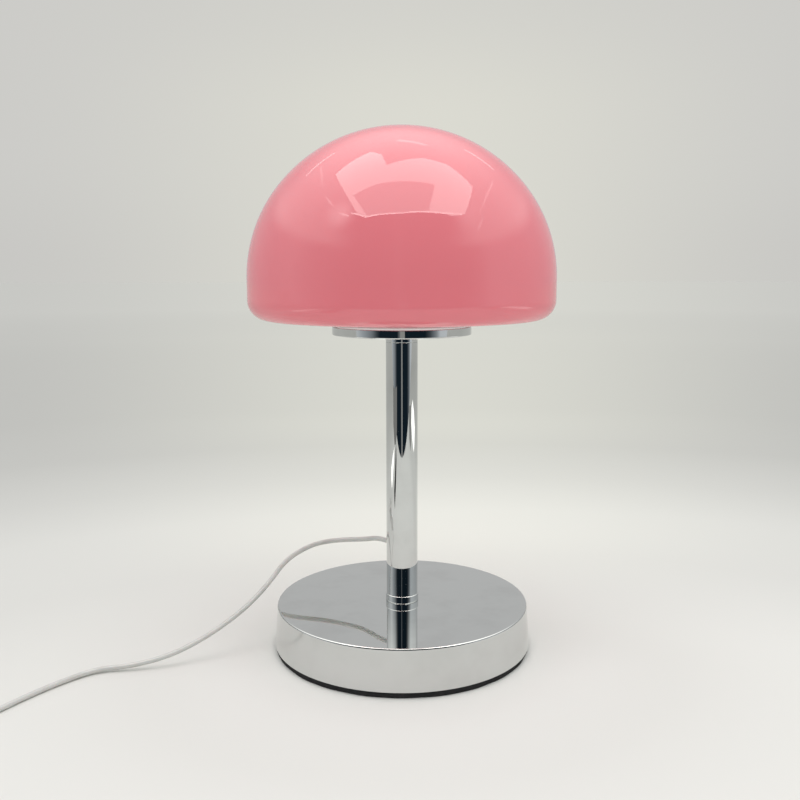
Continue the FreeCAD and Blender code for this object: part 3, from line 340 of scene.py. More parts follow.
glow_panel("grey_right", [
    (0.787, -0.632), (0.944, -0.354), (0.652, -0.223), (0.547, -0.266), (0.571, -0.388),
], 0.30, 0.0008)
glow_panel("grey_left", [
    (-1.142, -0.534), (-0.736, -1.025), (-0.446, -0.606), (-0.455, -0.482), (-0.528, -0.377),
    (-0.727, -0.355),
], 0.25, 0.0008)
glow_panel("glint_right", [
    (1.060, -0.108), (0.921, 0.122), (0.745, 0.226), (0.629, 0.135), (0.596, 0.056),
    (0.680, -0.105), (0.777, -0.252), (0.940, -0.256),
], 1.9, 0.001)
glow_panel("glint_left", [
    (-0.533, -0.358), (-0.477, -0.271), (-0.427, -0.154), (-0.399, -0.081), (-0.450, -0.046),
    (-0.510, -0.055), (-0.547, -0.202),
], 1.9, 0.001)
glow_panel("dark_streak", [
    (-0.447, -0.500), (-0.352, -0.423), (-0.305, -0.326), (-0.263, -0.193), (-0.344, -0.205),
    (-0.392, -0.320), (-0.443, -0.419),
], 0.06, 0.001)

lamp_data = bpy.data.lights.new("overhead softbox", "AREA")
lamp_data.shape = "RECTANGLE"
lamp_data.size = 1.6
lamp_data.size_y = 1.2
lamp_data.energy = 9.0
overhead = bpy.data.objects.new("overhead softbox", lamp_data)
overhead.location = (0.0, 0.12, 1.6)
overhead.rotation_euler = (-0.07, 0.0, 0.0)
overhead.visible_glossy = False
overhead.visible_camera = False
bpy.context.scene.collection.objects.link(overhead)

camera_data = bpy.data.cameras.new("camera")
camera_data.lens = 41.4
camera_data.sensor_width = 36.0
camera = bpy.data.objects.new("camera", camera_data)
dip, turn, roll = 0.1431, 0.001, -0.0016
level_view = Euler((np.pi / 2 - dip, 0.0, turn)).to_matrix()
camera.rotation_euler = (level_view @ Matrix.Rotation(roll, 3, "Z")).to_euler()
camera.location = (-0.00056, -0.5448, 0.230)
bpy.context.scene.collection.objects.link(camera)
bpy.context.scene.camera = camera
bpy.context.scene.view_settings.view_transform = "Standard"


# ---- Foam pad ------------------------------------------------------------------------------------
# A die-cut disc of black cellular foam under the base. Its cut edge shows as a dark, slightly
# uneven line that the chromed cover stands over.


def rounded(corners, closed=True, steps=6):
    """An outline with its corners rounded, from rows of radius, height and the corner's round.

    The arc at a corner touches both runs at round / tan(half the corner's angle) from it. One more
    point on each run, a third of the round further on, keeps the flats flat up to the arc.
    """
    rows = np.array([(*corner, 0.0)[:3] for corner in corners], float)
    here, bend = rows[:, :2], rows[:, 2:]
    before, after = np.roll(here, 1, axis=0) - here, np.roll(here, -1, axis=0) - here
    before /= np.linalg.norm(before, axis=1, keepdims=True)
    after /= np.linalg.norm(after, axis=1, keepdims=True)
    if not closed:
        bend[[0, -1]] = 0.0
    half = np.arccos(np.clip((before * after).sum(axis=1, keepdims=True), -1.0, 1.0)) / 2
    cut = bend / np.tan(half)
    middle = before + after
    length = np.linalg.norm(middle, axis=1, keepdims=True)
    centre = here + middle / np.where(length > 1e-9, length, 1.0) * bend / np.sin(half)
    start, end = here + before * cut - centre, here + after * cut - centre
    swing = np.pi - 2 * half
    share = np.linspace(0.0, 1.0, steps + 1)[None, :, None]
    spread = np.where(np.abs(np.sin(swing)) > 1e-9, np.sin(swing), 1.0)[:, None]
    arc = start[:, None] * np.sin((1 - share) * swing[:, None]) / spread
    arc = centre[:, None] + arc + end[:, None] * np.sin(share * swing[:, None]) / spread
    lead = (here + before * (cut + bend / 3))[:, None]
    tail = (here + after * (cut + bend / 3))[:, None]
    line = np.concatenate([lead, arc, tail], axis=1)
    line = np.where(bend[:, None] > 0, line, here[:, None]).reshape(-1, 2)
    step = np.linalg.norm(np.diff(line, axis=0, prepend=line[:1] + 1.0), axis=1)
    return line[step > 1e-7]


def lathe(name, outline, foot=0.0, columns=160, closed=True, swell=0.0):
    """A turned piece: the outline (radius, height) swept round Z.

    Point (i, j) is (r cos t, r sin t, foot + z), with r = radius + swell(t) * radius / greatest
    radius, and t in equal steps. A row on the axis is one point. The outline runs anticlockwise.
    """
    radius, height = np.asarray(outline).T
    turn = np.linspace(0.0, 2 * np.pi, columns, endpoint=False)
    out = radius[:, None] + np.broadcast_to(swell, turn.shape) * radius[:, None] / radius.max()
    up = np.broadcast_to(height[:, None] + foot, out.shape)
    points = np.stack([out * np.cos(turn), out * np.sin(turn), up], axis=2)
    number = np.arange(points.size // 3).reshape(out.shape)
    number = np.where(radius[:, None] < 1e-9, number[:, :1], number)
    if closed:
        number = np.vstack([number, number[:1]])
    side = np.roll(number, -1, axis=1)
    cells = np.stack([number[:-1], side[:-1], side[1:], number[1:]], axis=2).reshape(-1, 4)
    used, cells = np.unique(cells, return_inverse=True)
    return joined(name, points.reshape(-1, 3)[used], cells.reshape(-1, 4))


pad_low, pad_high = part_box("base_pad")
pad_thickness = pad_high.z - pad_low.z
pad_columns, wave, pad_inset = 320, 0.00012, 0.0003
around = np.linspace(0.0, 2 * np.pi, pad_columns, endpoint=False)
uneven = wave * (np.sin(5 * around + 0.6) + np.sin(11 * around + 2.0) + np.sin(23 * around))
pad_outline = [
    (0.0, 0.0),
    (pad_high.x, 0.0, 0.0007),
    (pad_high.x, pad_thickness, 0.0004),
    (0.0, pad_thickness),
]
foam_pad = lathe(
    "foam_pad",
    rounded(pad_outline, closed=False),
    columns=pad_columns,
    closed=False,
    swell=uneven - pad_inset,
)
foam = Finish("black foam", roughness=0.9, specular_ior_level=0.2)
sockets = {"Vector": foam.place(), "Scale": 1500.0}
bubbles = foam.node("ShaderNodeTexVoronoi", {"feature": "F1"}, sockets)
grain = foam.noise(0.004, 3.0)
foam.feed(
    base_color=foam.blend(grain, (0.010, 0.010, 0.011), (0.028, 0.028, 0.029)),
    normal=foam.bump(bubbles, 0.0003),
)
paint(foam_pad, foam)
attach(foam_pad, "lamp")
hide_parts("base_pad")


# ---- Base cover ----------------------------------------------------------------------------------
# A deep-drawn steel cup, chromed outside and in, with a flat top and a tight round at its rim. The
# column's bolt comes up through the hole in its middle.


def chrome_finish(name, ripple, cloud):
    """Bright chrome with a breath of haze, and the faint ripple that the steel under it has."""
    chrome = Finish(name, metallic=1.0)
    haze = chrome.between(chrome.noise(cloud, 3.0, 0.6), 0.42, 0.75)
    wipe = chrome.between(chrome.noise(0.006, 2.0, 0.5, (1.0, 6.0, 1.0), 0.5), 0.58, 0.72)
    speck = chrome.between(chrome.noise(0.0011, 1.0), 0.71, 0.76)
    chrome.feed(
        base_color=chrome.blend(haze * 0.7, (0.658, 0.672, 0.665), (0.598, 0.608, 0.600)),
        roughness=0.014 + haze * 0.022 + wipe * 0.014 + speck * 0.02,
        normal=chrome.bump(chrome.noise(0.03, 1.0, 0.4), ripple),
    )
    return chrome


cover_low, cover_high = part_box("base_shell")
cover_wall, top_radius, bolt_hole = 0.0009, 0.0762, 0.004
cover_height = cover_high.z - cover_low.z
rim_drop, rim_inset = 0.0008, 0.0003
cover_outline = [
    (cover_high.x - cover_wall, 0.0, 0.0001),
    (cover_high.x, 0.0, 0.0003),
    (top_radius, cover_height - rim_drop, 0.0010),
    (top_radius - rim_inset, cover_height, 0.00065),
    (bolt_hole, cover_height),
    (bolt_hole, cover_height - cover_wall),
    (top_radius - cover_wall, cover_height - cover_wall, 0.0005),
]
base_cover = lathe("base_cover", rounded(cover_outline, steps=8), foot=cover_low.z, columns=384)
chrome = chrome_finish("base chrome", 0.000004, 0.03)
paint(base_cover, chrome)
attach(base_cover, "lamp")
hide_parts("base_shell")


# ---- Weight and its fixing -----------------------------------------------------------------------
# A sand-cast iron dish hidden in the cover, with a machined hub. A hexagon bolt with a flat and a
# spring washer, all zinc plated, clamps it and the cover to the column's foot.
iron = Finish("cast iron", metallic=0.85)
casting = iron.noise(0.0012, 4.0, 0.7)
rust = iron.between(iron.noise(0.012, 3.0), 0.60, 0.72)
iron.feed(
    base_color=iron.blend(rust * 0.6, (0.085, 0.082, 0.080), (0.150, 0.080, 0.050)),
    roughness=0.55 + casting * 0.35,
    normal=iron.bump(casting, 0.00025),
)
coat(iron, "base_weight")


def plated_finish(name, colour, roughness, grain):
    """Plated or plain turned metal: fine tool marks in rings and a slightly patchy plating."""
    plated = Finish(name, metallic=1.0)
    flat = plated.vectors("MULTIPLY", plated.place(), (1.0, 1.0, 0.0), out="Vector")
    turn = plated.vectors("LENGTH", flat) * (2 * np.pi / grain)
    marks = turn.maths("SINE", turn) * 0.5 + 0.5
    patch = plated.noise(0.004, 3.0)
    dull = tuple(0.8 * part for part in colour)
    plated.feed(
        base_color=plated.blend(patch, colour, dull),
        roughness=roughness + patch * 0.12,
        normal=plated.bump(marks, 0.000006),
    )
    return plated


zinc = plated_finish("zinc plate", (0.62, 0.63, 0.64), 0.26, 0.0004)
coat(zinc, "base_washer", "base_lock_washer", "base_bolt")


# ---- Column --------------------------------------------------------------------------------------
# A chromed steel tube pushed on to two turned plugs. Each plug's collar shows as a ring with a fine
# seam, at the base and under the tray. The cord comes out of a drilled hole low at the back.
foot_low, foot_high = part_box("foot_plug")
tube_low, tube_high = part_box("pole_tube")
head_low, head_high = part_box("head_plug")
tube_radius, tube_wall, fit = 0.0095, 0.0009, 0.00005
plug_radius = tube_radius - tube_wall - fit
foot_collar, head_collar, nipple_hole = 0.0045, 0.0045, 0.005
foot_top = foot_high.z - foot_low.z
foot_outline = [
    (bolt_hole, 0.0),
    (foot_high.x, 0.0, 0.0005),
    (foot_high.x, foot_collar, 0.0004),
    (plug_radius, foot_collar),
    (plug_radius, foot_top, 0.0004),
    (bolt_hole, foot_top),
]
column_foot = lathe("column_foot", rounded(foot_outline), foot=foot_low.z)
head_top = head_high.z - head_low.z
head_step = head_top - head_collar
head_outline = [
    (nipple_hole, 0.0),
    (plug_radius, 0.0, 0.0004),
    (plug_radius, head_step),
    (head_high.x, head_step, 0.0003),
    (head_high.x, head_top, 0.0002),
    (nipple_hole, head_top),
]
column_head = lathe("column_head", rounded(head_outline), foot=head_low.z)


def drilled_tube(name, radius, wall, low, high, hole, hole_up, hole_turn):
    """A tube with a round hole: point (i, j) is (radius cos t, radius sin t, z) on a plain grid.

    A square window of the grid round the hole is filled by rings, each a share of the way from the
    window's edge in (radius * t, z) to the hole's circle at the same bearing. The inner wall is the
    same grid at radius - wall, and strips join the two at both ends and round the hole.
    """
    columns, ease, shy = 160, 0.00012, 0.001
    step = 2 * np.pi * radius / columns
    reach = int(np.ceil(1.6 * hole / step))
    span = step * reach
    rows = np.concatenate([
        [low, low + ease, low + 4 * ease],
        np.linspace(low + shy, hole_up - span, 6)[:-1],
        np.linspace(hole_up - span, hole_up + span, 2 * reach + 1),
        np.linspace(hole_up + span, high - shy, 14)[1:],
        [high - 4 * ease, high - ease, high],
    ])
    inset = np.zeros(len(rows))
    inset[[0, -1]] = ease
    turn = hole_turn + (np.arange(columns) - columns // 2) * 2 * np.pi / columns
    number = np.arange(len(rows) * columns).reshape(len(rows), columns)
    first, middle = int(np.argmin(np.abs(rows - (hole_up - span)))), columns // 2
    left, right, bottom, top = middle - reach, middle + reach, first, first + 2 * reach
    keep = np.ones((len(rows) - 1, columns), bool)
    keep[bottom:top, left:right] = False
    side = np.roll(number, -1, axis=1)
    wall_cells = np.stack([number[:-1], side[:-1], side[1:], number[1:]], axis=2)[keep]
    border = np.concatenate([
        number[bottom, left:right], number[bottom:top, right],
        number[top, right:left:-1], number[top:bottom:-1, left],
    ])
    along = (np.tile(np.arange(columns) - middle, len(rows)) * step)[border]
    up = np.repeat(rows, columns)[border]
    bearing = np.arctan2(up - hole_up, along)
    share = np.linspace(0.0, 1.0, 7)[1:, None]
    ring_along = along * (1 - share) + hole * np.cos(bearing) * share
    ring_up = up * (1 - share) + (hole_up + hole * np.sin(bearing)) * share
    rings = number.size + np.arange(ring_along.size).reshape(ring_along.shape)
    rings = np.vstack([border, rings])
    next_ring = np.roll(rings, -1, axis=1)
    hole_cells = np.stack([rings[:-1], next_ring[:-1], next_ring[1:], rings[1:]], axis=2)
    cells = np.vstack([wall_cells, hole_cells.reshape(-1, 4)])
    angle = np.concatenate([np.tile(turn, len(rows)), (hole_turn + ring_along / radius).ravel()])
    level = np.concatenate([np.repeat(rows, columns), ring_up.ravel()])
    outer = np.concatenate([np.repeat(radius - inset, columns), np.full(ring_along.size, radius)])
    skins = [
        np.stack([out * np.cos(angle), out * np.sin(angle), level], axis=1)
        for out in (outer, np.full(outer.shape, radius - wall))
    ]
    count = len(angle)
    rims = []
    for loop in (np.roll(number[0], -1), number[-1], rings[-1]):
        onward = np.roll(loop, -1)
        rims.append(np.stack([loop, onward, onward + count, loop + count], axis=1))
    rims[0] = rims[0][:, ::-1]
    return joined(name, np.vstack(skins), np.vstack([cells, cells[:, ::-1] + count, *rims]))


hole_low, hole_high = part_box("cord_grommet")
hole_radius, hole_turn = 0.0029, np.radians(127.0)
hole_height = (hole_low.z + hole_high.z) / 2
column_tube = drilled_tube(
    "column_tube",
    tube_radius,
    tube_wall,
    tube_low.z,
    tube_high.z,
    hole_radius,
    hole_height,
    hole_turn,
)
column_chrome = chrome_finish("column chrome", 0.0000015, 0.02)
column_pieces = {"foot_plug": column_foot, "head_plug": column_head, "pole_tube": column_tube}
for node, piece in column_pieces.items():
    paint(piece, column_chrome)
    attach(piece, "lamp")
    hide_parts(node)


# ---- Grommet -------------------------------------------------------------------------------------
# A soft white silicone bush snapped into the drilled hole: its flange lies on the tube like a
# saddle, and a barb behind the wall holds it in.
silicone = Finish("silicone", roughness=0.5, subsurface_weight=0.15, subsurface_scale=0.002)
dust = silicone.between(silicone.noise(0.0008, 3.0), 0.45, 0.7)
silicone.feed(
    base_color=silicone.blend(dust, (0.62, 0.62, 0.60), (0.54, 0.54, 0.52)),
    normal=silicone.bump(dust, 0.00003),
)
bore_radius, neck_radius, barb_radius, flange_radius = 0.00155, 0.00285, 0.0033, 0.0041
barb_start, barb_end, flange_start, flange_end = -0.0018, -0.0010, 0.0009, 0.0019
bush_outline = [
    (bore_radius, barb_start, 0.0002),
    (barb_radius, barb_start, 0.0003),
    (barb_radius, barb_end, 0.0002),
    (neck_radius, barb_end),
    (neck_radius, flange_start),
    (flange_radius, flange_start, 0.0001),
    (flange_radius, flange_end, 0.0005),
    (bore_radius, flange_end, 0.0003),
]


def laid_in_hole(mesh):
    """Lays an upright bush into the tube's hole and bends its flange round the tube.

    A point (side, up, out) goes out by the inner wall's radius, up by the hole's height and round
    to the hole's bearing. Past the inner wall and wider than the hole, it sinks by the tube's fall
    from its crest: radius - sqrt(radius squared - side squared).
    """
    spots = np.empty(len(mesh.vertices) * 3)
    mesh.vertices.foreach_get("co", spots)
    side, up, out = spots.reshape(-1, 3).T
    fall = tube_radius - np.sqrt(tube_radius**2 - side**2)
    on_tube = (out > 0.0) & (side**2 + up**2 > hole_radius**2)
    out = out + (tube_radius - tube_wall) - fall * on_tube
    spots = np.stack([
        out * np.cos(hole_turn) - side * np.sin(hole_turn),
        out * np.sin(hole_turn) + side * np.cos(hole_turn),
        hole_height + up,
    ], axis=1)
    mesh.vertices.foreach_set("co", spots.ravel())
    mesh.update()


bush = lathe("cord_bush", rounded(bush_outline, steps=5), columns=72)
laid_in_hole(bush.data)
paint(bush, silicone)
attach(bush, "lamp")
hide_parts("cord_grommet")


# ---- Nipple, washer and nut ----------------------------------------------------------------------
# A threaded brass nipple, screwed into the column's head, that the tray and the light's cup are
# clamped on by a thin steel washer and a hexagon nut.
brass = plated_finish("turned brass", (0.66, 0.50, 0.22), 0.24, 0.0003)
coat(brass, "head_nipple", "tray_nut")
coat(zinc, "tray_washer")


# ---- Tray ----------------------------------------------------------------------------------------
# A turned and chromed disc that the shade stands on. Its edge has a small bevel above and below,
# and a recess in its top takes the light's cup.
tray_low, tray_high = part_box("shade_tray")
tray_thickness, recess_radius, tray_floor = tray_high.z - tray_low.z, 0.0314, 0.0022
tray_outline = [
    (nipple_hole, 0.0),
    (tray_high.x, 0.0, 0.0007),
    (tray_high.x, tray_thickness, 0.0003),
    (recess_radius, tray_thickness, 0.0002),
    (recess_radius, tray_floor),
    (nipple_hole, tray_floor),
]
tray = lathe("tray", rounded(tray_outline), foot=tray_low.z, columns=288)
paint(tray, column_chrome)
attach(tray, "lamp")
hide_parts("shade_tray")


# ---- Light ---------------------------------------------------------------------------------------
# A spun aluminium cup with three posts, a white-faced board of yellow chips held by three screws,
# and a moulded white cap over them, all hidden by the shade.
aluminium = plated_finish("spun aluminium", (0.60, 0.60, 0.61), 0.34, 0.0009)
coat(aluminium, "light_cup", "board_posts")
coat(zinc, "board_screws")
resist = Finish("white solder resist", roughness=0.35, coat_weight=0.3)
weave = resist.noise(0.0009, 2.0)
resist.feed(
    base_color=resist.blend(weave, (0.74, 0.74, 0.72), (0.68, 0.68, 0.66)),
    normal=resist.bump(weave, 0.00002),
)
coat(resist, "light_board")
phosphor = Finish("chip phosphor", roughness=0.4)
rim = phosphor.noise(0.0006, 2.0)
phosphor.feed(
    base_color=phosphor.blend(rim, (0.78, 0.62, 0.16), (0.66, 0.50, 0.10)),
    normal=phosphor.bump(rim, 0.00003),
)
coat(phosphor, "light_chips")
cap = Finish("moulded diffuser", roughness=0.45, subsurface_weight=0.3, subsurface_scale=0.004)
frost = cap.noise(0.0012, 3.0)
cap.feed(
    base_color=cap.blend(frost, (0.84, 0.84, 0.82), (0.79, 0.79, 0.77)),
    normal=cap.bump(frost, 0.00003),
)
coat(cap, "light_diffuser")


# ---- Clips and gasket ----------------------------------------------------------------------------
# Three bent spring-steel leaves that snap over the mouth of the shade, and the thin ring of milky
# silicone that the glass sits on, given a painted glow as if lit through the glass.
spring = Finish("blued spring steel", metallic=1.0)
heat = spring.noise(0.005, 2.0)
spring.feed(
    base_color=spring.blend(heat, (0.36, 0.36, 0.38), (0.25, 0.24, 0.27)),
    roughness=0.24 + heat * 0.15,
    normal=spring.bump(spring.noise(0.0006, 2.0, 0.5, (1.0, 1.0, 8.0)), 0.00001),
)
coat(spring, "shade_clips")
# Painted light: the gasket glows a little, as if lit through the glass, though it is no lamp.
gasket = Finish("gasket", roughness=0.6, emission_strength=0.5)
bloom_and_painted_glow = gasket.noise(0.002, 3.0)
gasket.feed(
    base_color=gasket.blend(bloom_and_painted_glow, (0.76, 0.74, 0.72), (0.66, 0.64, 0.62)),
    emission_color=gasket.blend(bloom_and_painted_glow, (1.0, 0.95, 0.92), (0.92, 0.87, 0.84)),
    normal=gasket.bump(bloom_and_painted_glow, 0.00002),
)
coat(gasket, "shade_gasket")


# ---- Shade ---------------------------------------------------------------------------------------
# One blown bubble of pink opal glass with a low dome and rolled-in bottom. Its mouth is cut and
# ground flat, and blowing has left the surface glossy and very slightly uneven.
glass_radius, glass_wall, mouth_radius, ground_rim = 0.090, 0.003, 0.034, 0.0384
corner_radius, corner_height, upright, rise = 0.0117, 0.0153, 0.0117, 0.087


def arc(centre, radius, first, last, count):
    """Points on a circle's arc about a centre (radius, height), from one angle to another."""
    angle = np.linspace(first, last, count)
    out, up = centre[0] + radius * np.cos(angle), centre[1] + radius * np.sin(angle)
    return np.stack([out, up], axis=1)


def dome_wall(inset):
    """Half the shade's wall from its mouth to the crown, moved this far into the glass.

    The rolled-in bottom slopes from the ground rim to a corner arc that it touches. An upright
    stretch, a shoulder arc and the crown's arc follow, each touching the next. The shoulder is as
    round as an ellipse as wide as the shade is where it is widest: rise squared / radius.
    """
    foot = np.array([glass_radius - corner_radius, corner_height])
    run = foot - np.array([ground_rim, 0.0])
    lean = np.arcsin(corner_radius / np.hypot(*run))
    touch = np.arctan2(run[1], run[0]) - lean - np.pi / 2
    spring_line = corner_height + upright
    shoulder = rise**2 / glass_radius
    aside = glass_radius - shoulder
    crown = (aside**2 + rise**2 - shoulder**2) / (2 * (rise - shoulder))
    crown_height = spring_line + rise - crown
    meet = np.arctan2(spring_line - crown_height, aside)
    slope = np.array([np.cos(touch), np.sin(touch)])
    tangent = np.array([-slope[1], slope[0]])
    bend = arc(foot, corner_radius - inset, touch, 0.0, 20)
    length = np.hypot(*run) * np.cos(lean)
    floor = bend[0] - tangent * np.linspace(length, 0.0, 14)[:-1, None]
    wall = np.linspace(0.0, upright, 7)[1:-1, None] * [0.0, 1.0] + bend[-1]
    shoulder_arc = arc((aside, spring_line), shoulder - inset, 0.0, meet, 40)
    crown_arc = arc((0.0, crown_height), crown - inset, meet, np.pi / 2, 56)[1:]
    line = np.vstack([floor, bend, wall, shoulder_arc, crown_arc])
    line[-1, 0] = 0.0
    return line


outside, inside = dome_wall(0.0), dome_wall(glass_wall)
mouth_gap, well_up = 0.002, 0.05
inside = inside[inside.sum(axis=1) > mouth_radius + 2 * mouth_gap]
inside = inside[(inside[:, 0] > mouth_radius + mouth_gap) | (inside[:, 1] > well_up)]
mouth_edge = rounded([
    inside[0],
    (mouth_radius, inside[0][1] - 0.0002, 0.0011),
    (mouth_radius, 0.0, 0.0005),
    (*outside[0], 0.0009),
    outside[3],
], closed=False)
shade_outline = np.vstack([inside[:0:-1], mouth_edge, outside[4:]])
shade_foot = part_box("glass_shade")[0].z
shade = lathe("glass_shade_blown", shade_outline, foot=shade_foot, columns=256, closed=False)
opal = Finish(
    "pink opal glass",
    roughness=0.3,
    specular_ior_level=0.0,
    coat_weight=1.0,
    coat_roughness=0.012,
    subsurface_weight=0.12,
    subsurface_radius=(1.0, 0.4, 0.4),
    subsurface_scale=0.006,
)
drift = opal.noise(0.06, 2.0, 0.4)
opal.feed(
    base_color=opal.blend(drift, (0.812, 0.212, 0.246), (0.828, 0.226, 0.262)),
    normal=opal.bump(opal.noise(0.045, 1.0, 0.3), 0.00006),
)
paint(shade, opal)
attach(shade, "lamp")
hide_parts("glass_shade")


# ---- Cord ----------------------------------------------------------------------------------------
# A thin round two-core cord in soft off-white vinyl. One length runs from the light's board down
# the column and out to the switch, and the other goes on from there to a wound coil and the plug.
cord_radius = 0.0015


def cord_piece(name, points, radius, finish):
    """A smooth NURBS cord of this radius through its route's control points."""
    line = bpy.data.curves.new(name, "CURVE")
    line.dimensions = "3D"
    line.bevel_depth = radius
    line.bevel_resolution = 5
    line.resolution_u = 8
    line.use_fill_caps = True
    spline = line.splines.new("NURBS")
    spline.points.add(len(points) - 1)
    spline.points.foreach_set("co", np.hstack([points, np.ones((len(points), 1))]).ravel())
    spline.order_u = 3
    spline.use_endpoint_u = True
    piece = bpy.data.objects.new(name, line)
    bpy.context.scene.collection.objects.link(piece)
    paint(piece, finish)
    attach(piece, "lamp")
    return piece


vinyl = Finish(
    "cord vinyl",
    roughness=0.42,
    specular_ior_level=0.45,
    subsurface_weight=0.1,
    subsurface_scale=0.001,
)
soil = vinyl.between(vinyl.noise(0.009, 3.0), 0.45, 0.7)
skin = vinyl.noise(0.0007, 2.0)
vinyl.feed(
    base_color=vinyl.blend(soil, (0.565, 0.572, 0.550), (0.515, 0.517, 0.492)),
    normal=vinyl.bump(skin, 0.00002),
)

stow_turn = np.radians(113.3)
stow_along = np.array([np.cos(stow_turn), np.sin(stow_turn)])
stow_aside = np.array([-np.sin(stow_turn), np.cos(stow_turn)])
stow_start, stow_out, switch_height = np.array([-0.211, -0.090]), 0.0371, 0.0065


def stowed(along, out, height):
    """Points on the put-away stretch: so far along its line, so far out to its left, so high."""
    flat = stow_start + np.multiply.outer(along, stow_along) + np.multiply.outer(out, stow_aside)
    return np.column_stack([flat, np.broadcast_to(height, len(flat))])


bearing, exit_out = np.array([np.cos(hole_turn), np.sin(hole_turn)]), 0.0105
inner_route = np.array([
    (exit_out, 0.0), (0.001, 0.0), (-0.0032, 0.0024), (-0.0056, 0.0066), (-0.0056, 0.0154),
    (-0.0035, 0.0314), (0.0004, 0.0514), (-0.0002, 0.0974),
])
inner_points = np.column_stack([inner_route[:, :1] * bearing, hole_height + inner_route[:, 1]])
board_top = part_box("light_board")[1].z
inner_points = np.vstack([inner_points, [0.0, 0.0, board_top]])
inner_cord = cord_piece("cord_in_column", inner_points, cord_radius, vinyl)
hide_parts("inner_cord")

exit_point = np.array([*(exit_out * bearing), hole_height])
bend_out, bend_rise = 0.0219, 0.0008
run_points = np.vstack([
    exit_point,
    [*(bend_out * bearing), hole_height + bend_rise],
    [
        (-0.0250, 0.0260, 0.0576), (-0.0390, 0.0308, 0.0560), (-0.0535, 0.0320, 0.0538),
        (-0.0645, 0.0265, 0.0506), (-0.0745, 0.0180, 0.0456), (-0.0820, 0.0045, 0.0370),
        (-0.0925, -0.0050, 0.0270), (-0.1040, -0.0130, 0.0190), (-0.1185, -0.0245, 0.0118),
        (-0.1360, -0.0355, 0.0060), (-0.1570, -0.0415, 0.0026), (-0.1755, -0.0440, 0.0019),
        (-0.1890, -0.0575, 0.0015), (-0.2020, -0.0760, 0.0016), (-0.2125, -0.0945, 0.0015),
        (-0.2185, -0.1040, 0.0015), (-0.2285, -0.1076, 0.0015), (-0.2386, -0.1069, 0.0016),
        (-0.2466, -0.1011, 0.0034),
    ],
    stowed(np.array([0.014, 0.022]), stow_out, switch_height),
])
lamp_cord = cord_piece("cord_to_switch", run_points, cord_radius, vinyl)
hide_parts("cord_run")

turns, layers, mean_radius, pitch, per_turn = 7, 4, 0.0175, 0.00345, 18
link_start, coil_middle, tail_start, plug_height = 0.074, 0.113, 0.116, 0.0038


def coiled():
    """The wound coil's control points: its middle plus radius * (sin a, -cos a) on the stretch.

    A layer is a flat spiral that goes in or out by one pitch a turn. Half a turn climbs to the next
    layer: the height grows by pitch * (1 - cos c) / 2 and the radius by pitch * sin c / 2 pi, for c
    from 0 to pi. The radius is divided by cos(pi / points a turn), because a cord of the second
    degree passes through the middles between its points.
    """
    spiral = (turns - (layers - 1) / 2) / layers
    place = np.arange(turns * per_turn + 1) / per_turn
    layer = np.minimum((place / (spiral + 0.5) + 1e-9).astype(int), layers - 1)
    within = place - layer * (spiral + 0.5)
    inward = np.where(layer % 2 == 0, -1.0, 1.0)
    climb = 2 * np.pi * np.maximum(within - spiral, 0.0)
    swing = mean_radius + inward * pitch * (np.minimum(within, spiral) - spiral / 2)
    swing = swing + inward * pitch * np.sin(climb) / (2 * np.pi)
    swing = swing / np.cos(np.pi / per_turn)
    lift = cord_radius + layer * pitch + pitch * (1 - np.cos(climb)) / 2
    angle = 2 * np.pi * place
    out = stow_out + mean_radius + pitch * spiral / 2 - swing * np.cos(angle)
    return stowed(coil_middle + swing * np.sin(angle), out, lift)


coil_points, coil_top = coiled(), cord_radius + (layers - 1) * pitch
link_points = stowed(
    link_start + np.array([0.0, 0.009, 0.020, 0.0295, 0.036]),
    stow_out,
    np.array([switch_height, switch_height, 0.004, cord_radius, cord_radius]),
)
tail_points = stowed(
    tail_start + np.array([0.0, 0.008, 0.020, 0.032, 0.040, 0.046]),
    stow_out,
    np.array([coil_top, coil_top, 0.00865, 0.0049, plug_height, plug_height]),
)
plug_cord_points = np.vstack([link_points, coil_points, tail_points[1:]])
plug_cord = cord_piece("cord_to_plug", plug_cord_points, cord_radius, vinyl)
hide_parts("cord_link", "cord_coil", "cord_tail")


def moulded_finish(name, colour, worn, roughness):
    """Injection-moulded plastic with a fine spark-eroded texture and a little handling grime."""
    plastic = Finish(name, specular_ior_level=0.45)
    grime = plastic.between(plastic.noise(0.012, 3.0), 0.48, 0.72)
    texture = plastic.noise(0.00045, 2.0)
    plastic.feed(
        base_color=plastic.blend(grime, colour, worn),
        roughness=roughness + grime * 0.12,
        normal=plastic.bump(texture, 0.00002),
    )
    return plastic


case_plastic = moulded_finish("switch plastic", (0.72, 0.72, 0.70), (0.66, 0.655, 0.63), 0.34)
button_plastic = moulded_finish("button plastic", (0.62, 0.62, 0.61), (0.56, 0.56, 0.54), 0.28)
black_plastic = moulded_finish("black plastic", (0.018, 0.018, 0.019), (0.03, 0.03, 0.03), 0.4)
board_green = moulded_finish("board lacquer", (0.020, 0.110, 0.050), (0.015, 0.085, 0.040), 0.25)
coat(case_plastic, "switch_base")
coat(button_plastic, "tact_plunger")
coat(black_plastic, "tact_body")
coat(board_green, "switch_board")
coat(zinc, "switch_screws")
coat(vinyl, "switch_leads")

case_low, case_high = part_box("switch_cover")
case_foot, case_top = case_low.z, case_high.z
case_length, case_width, case_round, case_wall = 0.052, 0.020, 0.004, 0.0014
button_hole, cord_notch, top_round, seam, ease = 0.0049, 0.00155, 0.0018, 0.0002, 0.0003
end_points, side_points = 48, 49


